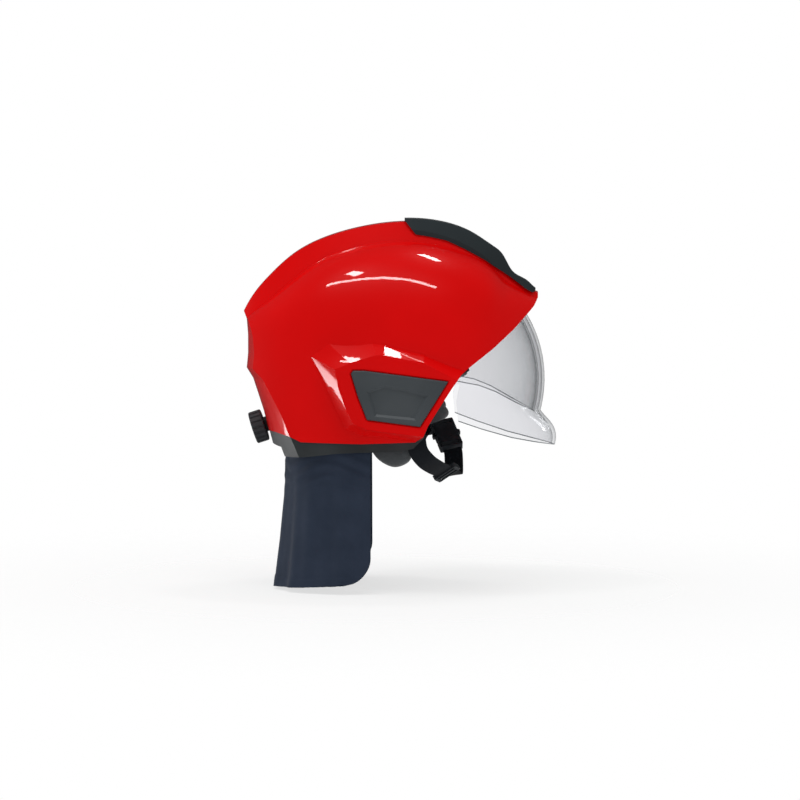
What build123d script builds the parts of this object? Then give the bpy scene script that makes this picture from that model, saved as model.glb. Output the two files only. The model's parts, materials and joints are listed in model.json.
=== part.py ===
from build123d import *
import math
import os

os.makedirs("parts", exist_ok=True)

# Jet style fire helmet, in millimetres. +X is forward, +Y the wearer's left, +Z up.
# The origin is the middle of the head in the plane of the shell's lower edge.

# Shell
brim_reach = 173.0          # head centre to the tip of the brim
comb_height = 233.0         # lower edge to the top of the comb
dome_height = 211.0         # lower edge to the dome beside the comb
half_width = 114.5          # widest half of the dome
wall = 3.5                  # moulded wall of the shell
comb_crown = 1.6            # rise of the comb's top over its own edges
skirt_depth = 30.0          # how far the raw form runs on below the lower edge
skirt_draw_share = 0.955    # half width down there, against the widest
rear_axis_x = 48.0          # upright axis that the rear panel is turned about
rear_reach = 135.4          # head centre to the rear panel
overrun = 5.0               # how far cutters run past what they cut

# Stations of the shell from rear to front. Each row holds shares of: brim reach (place),
# comb height, half width (comb edge), half width (comb foot), dome height (comb foot),
# half width (widest), dome height (height of the widest point).
station_shares = (
    (-0.867, 0.506, 0.087, 0.157, 0.512, 0.314, 0.370),
    (-0.809, 0.590, 0.122, 0.210, 0.588, 0.393, 0.360),
    (-0.740, 0.676, 0.148, 0.245, 0.645, 0.498, 0.351),
    (-0.647, 0.755, 0.175, 0.271, 0.706, 0.629, 0.341),
    (-0.520, 0.842, 0.192, 0.288, 0.794, 0.760, 0.332),
    (-0.335, 0.920, 0.210, 0.297, 0.902, 0.886, 0.322),
    (-0.104, 0.973, 0.218, 0.306, 0.969, 0.974, 0.313),
    (0.162, 1.000, 0.227, 0.306, 1.000, 1.000, 0.313),
    (0.416, 0.985, 0.227, 0.297, 0.976, 0.969, 0.332),
    (0.601, 0.935, 0.218, 0.288, 0.924, 0.891, 0.360),
    (0.728, 0.873, 0.210, 0.271, 0.860, 0.786, 0.398),
    (0.786, 0.835, 0.201, 0.253, 0.813, 0.721, 0.417),
    (0.838, 0.767, 0.192, 0.240, 0.782, 0.651, 0.441),
    (0.913, 0.727, 0.175, 0.218, 0.749, 0.524, 0.488),
    (0.956, 0.704, 0.158, 0.197, 0.730, 0.446, 0.528),
    (1.000, 0.680, 0.140, 0.175, 0.711, 0.367, 0.569),
    (1.075, 0.644, 0.105, 0.140, 0.682, 0.227, 0.597),
)
shoulder_run_share = 0.58   # first handle of the dome's curve, along the half width
shoulder_fall_share = 0.22  # how far that handle falls
belly_rise_share = 0.56     # second handle, above the widest point
edge_draw_share = 0.70      # how much the comb's edges draw in with the wall

# Rear outline, top to bottom: shares of rear reach (place) and dome height (height).
rear_shares = (
    (1.240, 0.830),
    (1.033, 0.651),
    (1.010, 0.611),
    (1.000, 0.531),
    (1.000, 0.441),
    (1.011, 0.365),
    (0.961, 0.313),
    (0.922, 0.237),
    (0.877, 0.147),
    (0.837, 0.043),
    (0.760, -0.142),
)

# Lower edge of the shell in side view, brim to nape: shares of brim reach and dome height.
face_line_shares = (
    (1.004, 0.770),
    (1.001, 0.718),
    (0.972, 0.677),
    (0.951, 0.657),
    (0.841, 0.562),
    (0.711, 0.467),
    (0.578, 0.383),
    (0.519, 0.342),
    (0.464, 0.280),
    (0.392, 0.188),
    (0.321, 0.095),
    (0.291, 0.039),
    (0.244, 0.012),
)
rim_line_shares = (
    (-0.084, 0.003),
    (-0.441, 0.008),
    (-0.510, 0.034),
    (-0.600, 0.050),
    (-0.900, 0.060),
)
trim_start = 10             # point of that edge at the trim's front corner
arch_half_width = 13.0      # opening in the rear edge for the size adjuster's shaft
arch_height = 34.0
arch_front_share = 0.72     # how far forward that opening is cut, against rear reach

# Shields, both turned about one cross axis under the side plates
pivot_x = 47.0
pivot_z = 65.0
shield_radius = 134.3       # outer face of the face shield, from the pivot axis
shield_half_width = 103.0
shield_wall = 2.5
lens_radius = 128.0         # outer face of the eye shield
lens_half_width = 98.2
lens_wall = 2.0
shield_top_angle = 38.0     # upper edge, above level
lens_top_angle = 37.0
barrel_run_share = 0.46     # handles of the shields' cross curve
barrel_rise_share = 0.54
lip_narrow_share = 0.80     # how much the cross curve narrows as the lip flares
ear_radius_share = 0.20     # where the flat ears begin, against the radius
lip_root_share = 0.18       # the same for the flared lip
ear_disc_radius = 17.0
ear_root_share = 0.60       # where the turned form starts inside the ear's disc
lens_low_angle = 56.0       # raw lower end of the eye shield, below level
lip_angle = 14.5            # where the flared lip begins, below level
# Rows of the flared lip: shares of its angle, of the shield's radius and of its wall.
lip_shares = (
    (1.000, 1.000, 1.0),
    (1.138, 1.050, 2.0),
    (1.310, 1.125, 2.2),
    (1.517, 1.177, 1.8),
    (1.793, 1.205, 1.4),
    (2.300, 1.215, 1.0),
    (3.000, 1.215, 1.0),
    (3.900, 1.205, 1.0),
)
# Side view of the shields about the pivot, as shares of their radius, from the lip's
# front round the lower and rear edges, over the ear and back along the top.
shield_shares = (
    (1.300, -0.520),
    (1.075, -0.525),
    (0.900, -0.490),
    (0.720, -0.450),
    (0.480, -0.375),
    (0.300, -0.310),
    (0.285, -0.150),
    (0.310, -0.020),
    (0.240, -0.030),
    (0.060, -0.126),
    (-0.080, 0.100),
    (0.060, 0.700),
    (0.720, 0.900),
    (1.300, 0.900),
)
lens_shares = (
    (1.200, -0.320),
    (1.000, -0.300),
    (0.930, -0.255),
    (0.780, -0.180),
    (0.620, -0.090),
    (0.480, -0.035),
    (0.300, 0.000),
    (0.060, -0.132),
    (-0.080, 0.100),
    (0.060, 0.700),
    (0.720, 0.900),
    (1.200, 0.900),
)

# Pivots
pin_radius = 4.0
running_gap = 0.06          # radial, on the pins and the shaft
face_gap = 0.3              # between faces that slide past each other
seat_gap = 0.02             # round pins, pressed or screwed in
fuse_depth = 1.0            # how far a boss or rib runs into what carries it
boss_radius = 11.0
pin_seat_depth = 10.0
pin_head_radius = 7.0
pin_head_height = 1.6
washer_radius = 10.0
socket_across = 4.0         # hexagon socket of the pins and screws, across corners
socket_depth = 1.0

# Ear pods and side plates: outlines about the pivot, as shares of the plate's reach
plate_reach = 70.0
pod_half_width = 124.5      # outer faces of the pods
pod_root_half_width = 96.0  # where the pods' slopes are started, inside the shell
pod_slope_share = 0.75      # how much the pods' outline draws in with the wall
pod_face_shares = (
    (-1.241, 0.190),
    (-1.021, 0.286),
    (-0.640, 0.400),
    (-0.520, 0.400),
    (0.061, 0.286),
    (0.900, -0.150),
    (0.900, -0.909),
    (-0.759, -0.696),
    (-0.979, -0.609),
    (-1.080, -0.403),
    (-1.197, -0.080),
)
pod_root_shares = (
    (-1.627, 0.379),
    (-1.426, 0.632),
    (-0.748, 0.738),
    (-0.520, 0.724),
    (0.061, 0.550),
    (0.980, 0.090),
    (1.000, -1.080),
    (-0.950, -0.877),
    (-1.170, -0.745),
    (-1.323, -0.420),
    (-1.470, -0.050),
)
plate_shares = (
    (-1.006, 0.127),
    (-0.977, 0.171),
    (-0.816, 0.171),
    (0.413, 0.010),
    (0.251, -0.254),
    (0.003, -0.650),
    (-0.773, -0.547),
    (-0.904, -0.210),
)
plate_field_shares = (
    (-0.780, -0.130),
    (-0.520, -0.040),
    (-0.080, -0.130),
    (0.130, -0.190),
    (-0.060, -0.560),
    (-0.660, -0.500),
)
plate_thickness = 4.2
plate_recess = 3.0
plate_gap = 0.4
plate_relief = 1.8          # depth of the sunken middle field
plate_field_taper = 55.0
pocket_bevel = 1.4          # slope round the pod's recess for the plate
pocket_taper = 45.0
plate_edge = 1.0            # bevel of the outer edge
plate_screw_shares = ((-0.880, 0.090), (0.240, -0.060))
screw_radius = 1.5
screw_gap = 0.2
screw_head_radius = 3.0
screw_head_height = 1.8

# Crest cover
cover_wall = 3.0
cover_gap = 0.3
cover_half_width = 33.5
# Side view of what the cover takes in: shares of brim reach and comb height.
cover_shares = (
    (0.183, 1.050),
    (0.183, 1.000),
    (0.250, 0.936),
    (0.324, 0.927),
    (0.437, 0.909),
    (0.550, 0.870),
    (0.664, 0.824),
    (0.766, 0.775),
    (0.828, 0.745),
    (0.874, 0.720),
    (0.920, 0.692),
    (0.966, 0.673),
    (0.984, 0.678),
    (0.990, 0.705),
    (0.985, 0.800),
    (0.880, 1.050),
)
cover_screw_row = 8         # station of the shell that the cover's screws stand on
cover_screw_share = 0.50    # how far out they stand, against the comb's edge
cover_screw_drop_share = 0.30  # how far the comb's top falls there, against its crown

# Trim along the lower edge, in side view from the nape to the front corner: shares of
# brim reach (place) and of the trim's rear drop (how far it hangs below the origin).
trim_face_gap = 0.8         # how far the trim stands in from the shell's face
trim_thickness = 5.6
trim_rear_drop = 15.0
trim_seat_gap = 0.05
trim_shares = (
    (0.291, -0.400),
    (0.235, 0.250),
    (0.160, 0.480),
    (-0.084, 0.560),
    (-0.223, 0.640),
    (-0.405, 0.910),
    (-0.545, 1.000),
    (-0.567, 0.350),
    (-0.640, 0.200),
    (-0.900, 0.100),
)

# Foam liner: half lengths of its outer form about its own middle
liner_middle = 60.0
liner_length = 116.0
liner_width = 95.0
liner_height = 124.0
liner_front_wall = 12.5
liner_side_wall = 12.0
liner_top_wall = 15.0
# Lower edge of the liner, brow to nape: shares of liner length and liner middle.
liner_edge_shares = (
    (1.100, 1.640),
    (0.860, 1.530),
    (0.700, 1.180),
    (0.540, 0.900),
    (0.340, 0.500),
    (-0.090, 0.520),
    (-0.100, 1.120),
    (-0.520, 0.900),
    (-1.100, 0.800),
)

# Headband, tilted down to the nape
band_tilt = 18.0
band_height_z = 54.0        # where its plane crosses the head's middle
band_length = 102.0         # half length and half width of its outer face
band_width = 79.0
band_wall = 1.8
band_front_height = 26.0
band_rear_height = 18.0
band_end_share = 0.10       # front band ends, and rear halves begin, against the length
rack_strip_height = 8.0
rack_reach = 15.0           # how far each rack runs past the middle
rack_straight = 42.0        # half width of the straight part at the nape
rack_taper = 64.0           # where the halves reach their full height
band_corner_share = 0.60    # roundness of the halves' rear corners: along, then across
band_turn_share = 0.65
band_half_gap = 2.0         # between the front band's ends and the halves
pinion_teeth = 10
tooth_pitch_radius = 4.5
tooth_addendum = 0.6        # of the pinion, past its pitch circle
tooth_clearance = 0.25
tooth_share = 0.38          # a rack tooth's root, against the pitch
tooth_tip_share = 0.50      # its tip, against its root
pinion_root_radius = 3.5
pinion_root_share = 0.20    # half tooth at the root and at the tip, against the pitch
pinion_tip_share = 0.08
first_tooth = -5            # rack teeth, counted from the pinion
last_tooth = 9
brow_pad_thickness = 5.0
brow_pad_height = 32.0
brow_pad_angle = 58.0
pad_edge_share = 0.30       # round of its edges, against its thickness
soft_gap = 0.3

# Size adjuster
housing_half_width = 21.0
housing_height = 34.0
housing_depth = 13.0
housing_wall = 2.2
housing_back_wall = 4.0
housing_gap = 0.5           # round the racks inside
housing_round = 2.0
shaft_radius = 3.0
knob_radius = 17.2
knob_depth = 13.5
knob_stand = 124.0          # head centre to the knob's inner face, along the tilted axis
knob_ribs = 18
knob_rib_radius = 1.5
knob_round = 1.6
knob_hub_radius = 8.0
knob_dish_share = 0.62      # shallow dish in the knob's face
knob_dish_depth_share = 0.16
pad_swell_shares = ((0.0, 0.90), (0.35, 1.00), (0.70, 0.97), (1.0, 0.84))
pad_corner_share = 0.28
nape_pad_width = 66.0
nape_pad_height = 30.0
nape_pad_thickness = 7.0

# Cradle and crown pad
cradle_width = 20.0
cradle_wall = 1.2
cradle_gap = 2.2            # inside the liner
cradle_cross_gap = 1.2      # between the two straps where they cross
cradle_long_foot = 40.5     # how far above the liner's middle each strap ends
cradle_cross_foot = 9.0
crown_pad_length = 84.0
crown_pad_width = 60.0
crown_pad_thickness = 7.0

# Cheek pads: side outline as shares of brim reach and of dome height
cheek_inner = 79.0          # half distance between their inner faces
cheek_thickness = 15.0
cheek_shares = (
    (-0.040, 0.090),
    (0.120, 0.110),
    (0.220, 0.118),
    (0.340, 0.185),
    (0.425, 0.180),
    (0.445, 0.150),
    (0.415, 0.122),
    (0.325, 0.112),
    (0.262, 0.045),
    (0.210, -0.085),
    (0.110, -0.112),
    (0.000, -0.050),
)
# How the outline swells through the pad: shares of its thickness and of its outline.
cheek_swell_shares = ((0.0, 0.86), (0.22, 0.98), (0.60, 1.00), (1.0, 0.88))

# Neck curtain: plan about its side ends, in rings from the top down. Each row holds the
# height, as a share of the drop, the reach against the head, and the folds' depth.
curtain_side_x = -4.0
curtain_length = 90.6
curtain_half_width = 97.4
curtain_roundness = 2.6
curtain_wall = 1.6
curtain_top = 3.0
curtain_drop = 152.0
curtain_folds = 14
curtain_fold_depth = 3.0
curtain_corner = 24.0
curtain_rows = ((0.0, 1.000, 0.00), (-0.14, 1.000, 0.15), (-0.40, 0.985, 0.60), (-1.0, 1.085, 1.00))
strip_wall = 1.4
strip_gap = 0.7
strip_drop = 10.0

# Chin strap: 20 mm webbing. Routes run down from each anchor. Each row holds shares of
# strap reach (place), strap half span (side) and chin drop (height), then the way that
# the webbing's width lies, along X and Z.
webbing_width = 20.0
webbing_wall = 1.6
strap_reach = 84.0
strap_half_span = 115.3
chin_drop = 38.0
right_route = (
    (0.476, -1.000, 0.895, 1.00, 0.10),
    (0.500, -0.955, 0.420, 1.00, 0.10),
    (0.515, -0.874, 0.185, 1.00, 0.10),
    (0.548, -0.850, -0.184, 0.97, 0.25),
    (0.643, -0.781, -0.474, 0.88, 0.47),
    (0.762, -0.607, -0.684, 0.85, 0.50),
    (0.857, -0.415, -0.816, 0.85, 0.50),
    (0.952, -0.225, -0.947, 0.85, 0.50),
)
chin_route = (
    (0.955, -0.205, -0.950, 0.85, 0.50),
    (1.000, 0.000, -1.000, 1.00, 0.10),
    (1.010, 0.139, -0.790, 1.00, 0.10),
    (1.006, 0.234, -0.460, 0.96, 0.18),
    (0.992, 0.265, -0.329, 0.96, 0.18),
)
left_route = (
    (0.476, 1.000, 0.895, 1.00, 0.10),
    (0.498, 0.955, 0.420, 1.00, 0.10),
    (0.575, 0.872, 0.180, 0.98, 0.10),
    (0.726, 0.858, 0.040, 0.96, 0.18),
    (0.800, 0.711, 0.050, 0.96, 0.18),
    (0.848, 0.616, 0.198, 0.96, 0.18),
    (0.856, 0.572, 0.369, 0.96, 0.18),
)

# Side-release buckle, built on its own plane: width along the strap's width, length up
# the strap to the left ear
buckle_place_shares = (0.941, 0.3645, -0.065)
buckle_width_way = (0.962, 0.204, 0.179)
buckle_face_way = (0.0, -0.658, 0.752)
buckle_width = 25.0
buckle_thickness = 9.0
socket_length = 27.0
socket_cavity_depth = 19.0
socket_wall = 1.8
socket_side_wall = 3.0
window_low_share = 0.18     # where the side windows begin and end, up the cavity
window_high_share = 0.70
plug_base_length = 14.0
plug_joint_gap = 0.4
bar_slot_length = 4.0
bar_slot_margin = 2.6
guide_width = 5.0
prong_width = 4.0
prong_root_gap = 0.3
prong_shoulder = 6.2
# One prong from its foot up: shares of its width, of its shoulder and of the cavity's depth.
prong_shares = (
    (0.0, 0.0, 0.00),
    (1.0, 0.0, 0.00),
    (1.0, 0.0, 0.24),
    (1.0, 1.0, 0.28),
    (1.0, 1.0, 0.48),
    (1.0, 0.0, 0.68),
    (0.5, 0.0, 0.79),
    (0.0, 0.0, 0.79),
)
prong_gap = 0.35            # between a prong and the socket's plates
buckle_round = 1.4

# Ladder-lock and its loose end of webbing
slider_length = 18.0
slider_thickness = 5.0
slider_margin = 3.6         # of the frame round the webbing's slots
slider_bar = 3.4
slider_share = 0.5          # where it sits, between the last two places of the right strap

# Strap anchors: plates riveted inside the shell
anchor_width = 26.0
anchor_height = 16.0
anchor_wall = 1.5
anchor_corner = 3.0


def cover_screw_stands():
    """Places on the comb's top at the cover's screws, square to its slope."""
    here, behind, ahead = (station_shares[cover_screw_row + step] for step in (0, -1, 1))
    slope = (comb_height * (ahead[1] - behind[1])) / (brim_reach * (ahead[0] - behind[0]))
    edge = half_width * here[2] * cover_screw_share
    top = comb_height * here[1] - comb_crown * cover_screw_drop_share
    return [
        Location(Plane((brim_reach * here[0], side * edge, top), z_dir=(-slope, 0, 1)))
        for side in (-1, 1)
    ]


def hull_section(row, inset):
    """Corner points of one upright section, drawn in by inset all round."""
    comb_z = comb_height * row[1] - inset
    edge_y = half_width * row[2] - inset * edge_draw_share
    foot_y = half_width * row[3] - inset * edge_draw_share
    foot_z = dome_height * row[4] - inset
    belly_y = half_width * row[5] - inset
    belly_z = dome_height * row[6]
    return comb_z, edge_y, foot_y, foot_z, belly_y, belly_z


def hull(inset):
    """Raw form of the shell, drawn in by inset, with the rear panel turned on it."""
    with BuildPart() as form:
        for row in station_shares:
            comb_z, edge_y, foot_y, foot_z, belly_y, belly_z = hull_section(row, inset)
            run = (belly_y - foot_y) * shoulder_run_share
            fall = run * shoulder_fall_share
            rise = (foot_z - belly_z) * belly_rise_share
            low_y = belly_y * skirt_draw_share
            with BuildSketch(Plane.YZ.offset(brim_reach * row[0])):
                with BuildLine():
                    ThreePointArc(
                        (-edge_y, comb_z - comb_crown),
                        (0, comb_z),
                        (edge_y, comb_z - comb_crown),
                    )
                    for side in (1, -1):
                        Line((side * edge_y, comb_z - comb_crown), (side * foot_y, foot_z))
                        Bezier(
                            (side * foot_y, foot_z),
                            (side * (foot_y + run), foot_z - fall),
                            (side * belly_y, belly_z + rise),
                            (side * belly_y, belly_z),
                        )
                        Line((side * belly_y, belly_z), (side * low_y, -skirt_depth))
                    Line((-low_y, -skirt_depth), (low_y, -skirt_depth))
                make_face()
        loft()
        with BuildSketch(Plane.XZ):
            with BuildLine():
                Polyline(
                    (rear_axis_x, -skirt_depth - overrun),
                    (rear_axis_x, comb_height + overrun),
                    (-rear_reach * rear_shares[0][0], comb_height + overrun),
                    *[(inset - rear_reach * a, dome_height * b) for a, b in rear_shares],
                    (inset - rear_reach * rear_shares[-1][0], -skirt_depth - overrun),
                    close=True,
                )
            make_face()
        revolve(axis=Axis((rear_axis_x, 0, 0), (0, 0, 1)), mode=Mode.INTERSECT)
    return form.part


def about_pivot(shares, reach):
    """Points of an outline drawn about the pivot."""
    return [(pivot_x + reach * a, pivot_z + reach * b) for a, b in shares]


def side_points(shares, across, up):
    """Points of a side view outline from its shares."""
    return [(across * a, up * b) for a, b in shares]


def finish(part, name):
    """Label a finished piece and write it."""
    part.label = name
    export_step(part, "parts/" + name + ".step")


def pods(inset):
    """The two ear pods as raised blocks with sloping sides, drawn in by inset."""
    with BuildPart() as blocks:
        for side in (-1, 1):
            outlines = (
                (pod_root_half_width, pod_root_shares),
                (pod_half_width - inset, pod_face_shares),
            )
            for stand, shares in outlines:
                with BuildSketch(Plane.XZ.offset(-side * stand)):
                    with BuildLine():
                        Polyline(*about_pivot(shares, plate_reach), close=True)
                    make_face()
                    if inset:
                        offset(amount=-inset * pod_slope_share, kind=Kind.INTERSECTION, mode=Mode.REPLACE)
            loft(ruled=True)
    return blocks.part


def form(inset, pod_inset):
    """Shell form with its pods, drawn in by inset."""
    with BuildPart() as whole:
        add(hull(inset))
        add(pods(pod_inset))
    return whole.part


def side_prism(points, reach):
    """A block of side view outline, reaching as far to both sides."""
    with BuildPart() as block:
        with BuildSketch(Plane.XZ):
            with BuildLine():
                Polyline(*points, close=True)
            make_face()
        extrude(amount=reach, both=True)
    return block.part


lower_edge = side_points(face_line_shares + rim_line_shares, brim_reach, dome_height)
half_block = pod_half_width + overrun
far_front = brim_reach * 1.3
deep = -plate_reach
pivot_axis = Axis((pivot_x, 0, pivot_z), (0, -1, 0))
plate_screw_places = about_pivot(plate_screw_shares, plate_reach)
pod_wall_face = pod_half_width - plate_recess - wall

cover_screw_planes = cover_screw_stands()

# Outer shell
with BuildPart() as outer_shell:
    add(form(0, 0))
    add(form(wall, wall + plate_recess), mode=Mode.SUBTRACT)
    add(
        side_prism(
            [(far_front, lower_edge[0][1]), *lower_edge, (lower_edge[-1][0], deep), (far_front, deep)],
            half_block,
        ),
        mode=Mode.SUBTRACT,
    )
    # arch in the rear edge for the shaft of the size adjuster
    with BuildSketch(Plane.YZ.offset(-rear_reach * arch_front_share)):
        Rectangle(2 * arch_half_width, 2 * (arch_height - arch_half_width))
        with Locations((0, arch_height - arch_half_width)):
            Circle(arch_half_width)
    extrude(amount=-rear_reach, mode=Mode.SUBTRACT)
    boss_foot = shield_half_width + face_gap
    for side in (-1, 1):
        # boss behind each side plate, bored for the pivot pin
        with BuildSketch(Plane.XZ.offset(-side * boss_foot)):
            with Locations((pivot_x, pivot_z)):
                Circle(boss_radius)
        extrude(amount=-side * (pod_wall_face + fuse_depth - boss_foot))
        with BuildSketch(Plane.XZ.offset(-side * boss_foot)):
            with Locations((pivot_x, pivot_z)):
                Circle(pin_radius + seat_gap)
        extrude(amount=-side * pin_seat_depth, mode=Mode.SUBTRACT)
        # recess that takes the side plate, and the holes for its screws
        with BuildSketch(Plane.XZ.offset(-side * (pod_half_width + overrun))):
            with BuildLine():
                Polyline(*about_pivot(plate_shares, plate_reach), close=True)
            make_face()
            offset(amount=plate_gap, kind=Kind.INTERSECTION, mode=Mode.REPLACE)
        extrude(amount=side * (plate_recess + overrun), mode=Mode.SUBTRACT)
        with BuildSketch(Plane.XZ.offset(-side * pod_half_width)):
            with BuildLine():
                Polyline(*about_pivot(plate_shares, plate_reach), close=True)
            make_face()
            offset(amount=plate_gap + pocket_bevel, kind=Kind.INTERSECTION, mode=Mode.REPLACE)
        extrude(amount=side * pocket_bevel, taper=pocket_taper, mode=Mode.SUBTRACT)
        with BuildSketch(Plane.XZ.offset(-side * (pod_half_width + overrun))):
            with Locations(*plate_screw_places):
                Circle(screw_radius + screw_gap)
        extrude(amount=side * (wall + plate_recess + 2 * overrun), mode=Mode.SUBTRACT)
    # holes for the crest cover's screws, square to the comb
    with Locations(*cover_screw_planes):
        Cylinder(screw_radius + screw_gap, 4 * wall, mode=Mode.SUBTRACT)
finish(outer_shell.part, "outer_shell")

# Crest cover: a skin over the comb, cut to its side view
with BuildPart() as crest_cover:
    add(hull(-cover_gap - cover_wall))
    add(hull(-cover_gap), mode=Mode.SUBTRACT)
    add(
        side_prism(side_points(cover_shares, brim_reach, comb_height), cover_half_width),
        mode=Mode.INTERSECT,
    )
    with Locations(*cover_screw_planes):
        Cylinder(screw_radius + seat_gap, 2 * (cover_gap + cover_wall / 2), mode=Mode.SUBTRACT)
finish(crest_cover.part, "crest_cover")

with BuildPart() as crest_cover_screws:
    with Locations(*[place * Location((0, 0, -wall - plate_gap)) for place in cover_screw_planes]):
        Cylinder(
            screw_radius,
            wall + plate_gap + cover_gap + cover_wall / 2 - seat_gap,
            align=(Align.CENTER, Align.CENTER, Align.MIN),
        )
        Cylinder(
            screw_head_radius,
            screw_head_height,
            align=(Align.CENTER, Align.CENTER, Align.MAX),
        )
finish(crest_cover_screws.part, "crest_cover_screws")

# Side plates and their screws
plate_foot = pod_half_width - plate_recess
for side, hand in ((-1, "right"), (1, "left")):
    with BuildPart() as side_plate:
        with BuildSketch(Plane.XZ.offset(-side * plate_foot)):
            with BuildLine():
                Polyline(*about_pivot(plate_shares, plate_reach), close=True)
            make_face()
        extrude(amount=-side * plate_thickness)
        chamfer(side_plate.faces().sort_by(Axis.Y)[0 if side < 0 else -1].edges(), plate_edge)
        with BuildSketch(Plane.XZ.offset(-side * (plate_foot + plate_thickness))):
            with BuildLine():
                Polyline(*about_pivot(plate_field_shares, plate_reach), close=True)
            make_face()
        extrude(amount=side * plate_relief, taper=plate_field_taper, mode=Mode.SUBTRACT)
        with BuildSketch(Plane.XZ.offset(-side * plate_foot)):
            with Locations(*plate_screw_places):
                Circle(screw_radius)
        extrude(amount=-side * plate_thickness / 2, mode=Mode.SUBTRACT)
    finish(side_plate.part, "side_plate_" + hand)

with BuildPart() as side_plate_screws:
    for side in (-1, 1):
        with BuildSketch(Plane.XZ.offset(-side * pod_wall_face)):
            with Locations(*plate_screw_places):
                Circle(screw_radius - seat_gap)
        extrude(amount=-side * (wall + plate_thickness / 2 - seat_gap))
        with BuildSketch(Plane.XZ.offset(-side * pod_wall_face)):
            with Locations(*plate_screw_places):
                Circle(screw_head_radius)
        extrude(amount=side * screw_head_height)
finish(side_plate_screws.part, "side_plate_screws")

# Tilted plane of the headband and the size adjuster
tilt = math.radians(band_tilt)
band_plane = Plane(
    origin=(0, 0, band_height_z),
    x_dir=(math.cos(tilt), 0, math.sin(tilt)),
    z_dir=(-math.sin(tilt), 0, math.cos(tilt)),
)
band_split = -band_end_share * band_length


def facing_plane(back):
    """Plane across the headband, facing forward, this far behind the head's middle."""
    return Plane(
        origin=band_plane.origin - band_plane.x_dir * back,
        x_dir=(0, 1, 0),
        z_dir=band_plane.x_dir,
    )


# Trim along the lower edge
trim_low = [(brim_reach * a, -trim_rear_drop * b) for a, b in trim_shares]
trim_top = [(x, z - trim_seat_gap) for x, z in lower_edge[trim_start:]]
with BuildPart() as rim_trim:
    add(form(trim_face_gap, trim_face_gap))
    trim_inset = trim_face_gap + trim_thickness
    add(form(trim_inset, trim_inset + plate_recess), mode=Mode.SUBTRACT)
    add(side_prism(trim_top + trim_low[::-1], half_block), mode=Mode.INTERSECT)
    with BuildSketch(facing_plane(knob_stand)):
        Circle(knob_hub_radius + plate_gap)
    extrude(amount=knob_stand - band_length, mode=Mode.SUBTRACT)
finish(rim_trim.part, "rim_trim")


def turned_plane(angle):
    """Plane through the pivot axis: local X runs to the left, local Y out at angle above level."""
    way = math.radians(angle)
    return Plane(
        origin=(pivot_x, 0, pivot_z),
        x_dir=(0, 1, 0),
        z_dir=(math.sin(way), 0, -math.cos(way)),
    )


def barrel_profile(plane, width, radius, depth, root, crown=1.0):
    """Cross curve of a shield: flat ears from root out, round shoulders, crown times the radius."""
    ear = radius * ear_radius_share
    flare = crown - 1
    run = barrel_run_share * (1 - flare * lip_narrow_share)
    with BuildSketch(plane) as profile:
        with BuildLine():
            for inner in (0, depth):
                w = width - min(inner, shield_wall)
                top = radius * crown - inner
                lift = (ear + (radius - inner - ear) * barrel_rise_share) * (1 - flare)
                for side in (-1, 1):
                    Line((side * w, root), (side * w, ear))
                    Bezier(
                        (side * w, ear),
                        (side * w, lift),
                        (side * w * run, top),
                        (0, top),
                    )
            for side in (-1, 1):
                Line((side * width, root), (side * (width - min(depth, shield_wall)), root))
        make_face()
    return profile.sketch


def ear_discs(width, depth):
    """Round ears of a shield on the pivot axis."""
    with BuildPart() as discs:
        for side in (-1, 1):
            with BuildSketch(Plane.XZ.offset(-side * (width - depth))):
                with Locations((pivot_x, pivot_z)):
                    Circle(ear_disc_radius)
            extrude(amount=-side * depth)
    return discs.part


def pin_bores(width, depth):
    """Bores through both ears for the pivot pins."""
    with BuildPart() as bores:
        for side in (-1, 1):
            with BuildSketch(Plane.XZ.offset(-side * (width - 2 * depth))):
                with Locations((pivot_x, pivot_z)):
                    Circle(pin_radius + running_gap)
            extrude(amount=-side * 3 * depth)
    return bores.part


ear_root = ear_disc_radius * ear_root_share

# Face shield: turned form with a flared lip, cut to its side view
with BuildPart() as face_shield:
    revolve(
        barrel_profile(
            turned_plane(-lip_angle), shield_half_width, shield_radius, shield_wall, ear_root
        ),
        axis=pivot_axis,
        revolution_arc=shield_top_angle + lip_angle,
    )
    loft(
        [
            barrel_profile(
                turned_plane(-lip_angle * row[0]),
                shield_half_width,
                shield_radius,
                shield_wall * row[2],
                shield_radius * lip_root_share,
                row[1],
            )
            for row in lip_shares
        ]
    )
    add(ear_discs(shield_half_width, shield_wall))
    add(side_prism(about_pivot(shield_shares, shield_radius), half_block), mode=Mode.INTERSECT)
    add(pin_bores(shield_half_width, shield_wall), mode=Mode.SUBTRACT)
finish(face_shield.part, "face_shield")

# Eye shield inside it, on the same axis
with BuildPart() as eye_shield:
    revolve(
        barrel_profile(
            turned_plane(-lens_low_angle), lens_half_width, lens_radius, lens_wall, ear_root
        ),
        axis=pivot_axis,
        revolution_arc=lens_top_angle + lens_low_angle,
    )
    add(ear_discs(lens_half_width, lens_wall))
    add(side_prism(about_pivot(lens_shares, lens_radius), half_block), mode=Mode.INTERSECT)
    add(pin_bores(lens_half_width, lens_wall), mode=Mode.SUBTRACT)
finish(eye_shield.part, "eye_shield")

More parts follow.
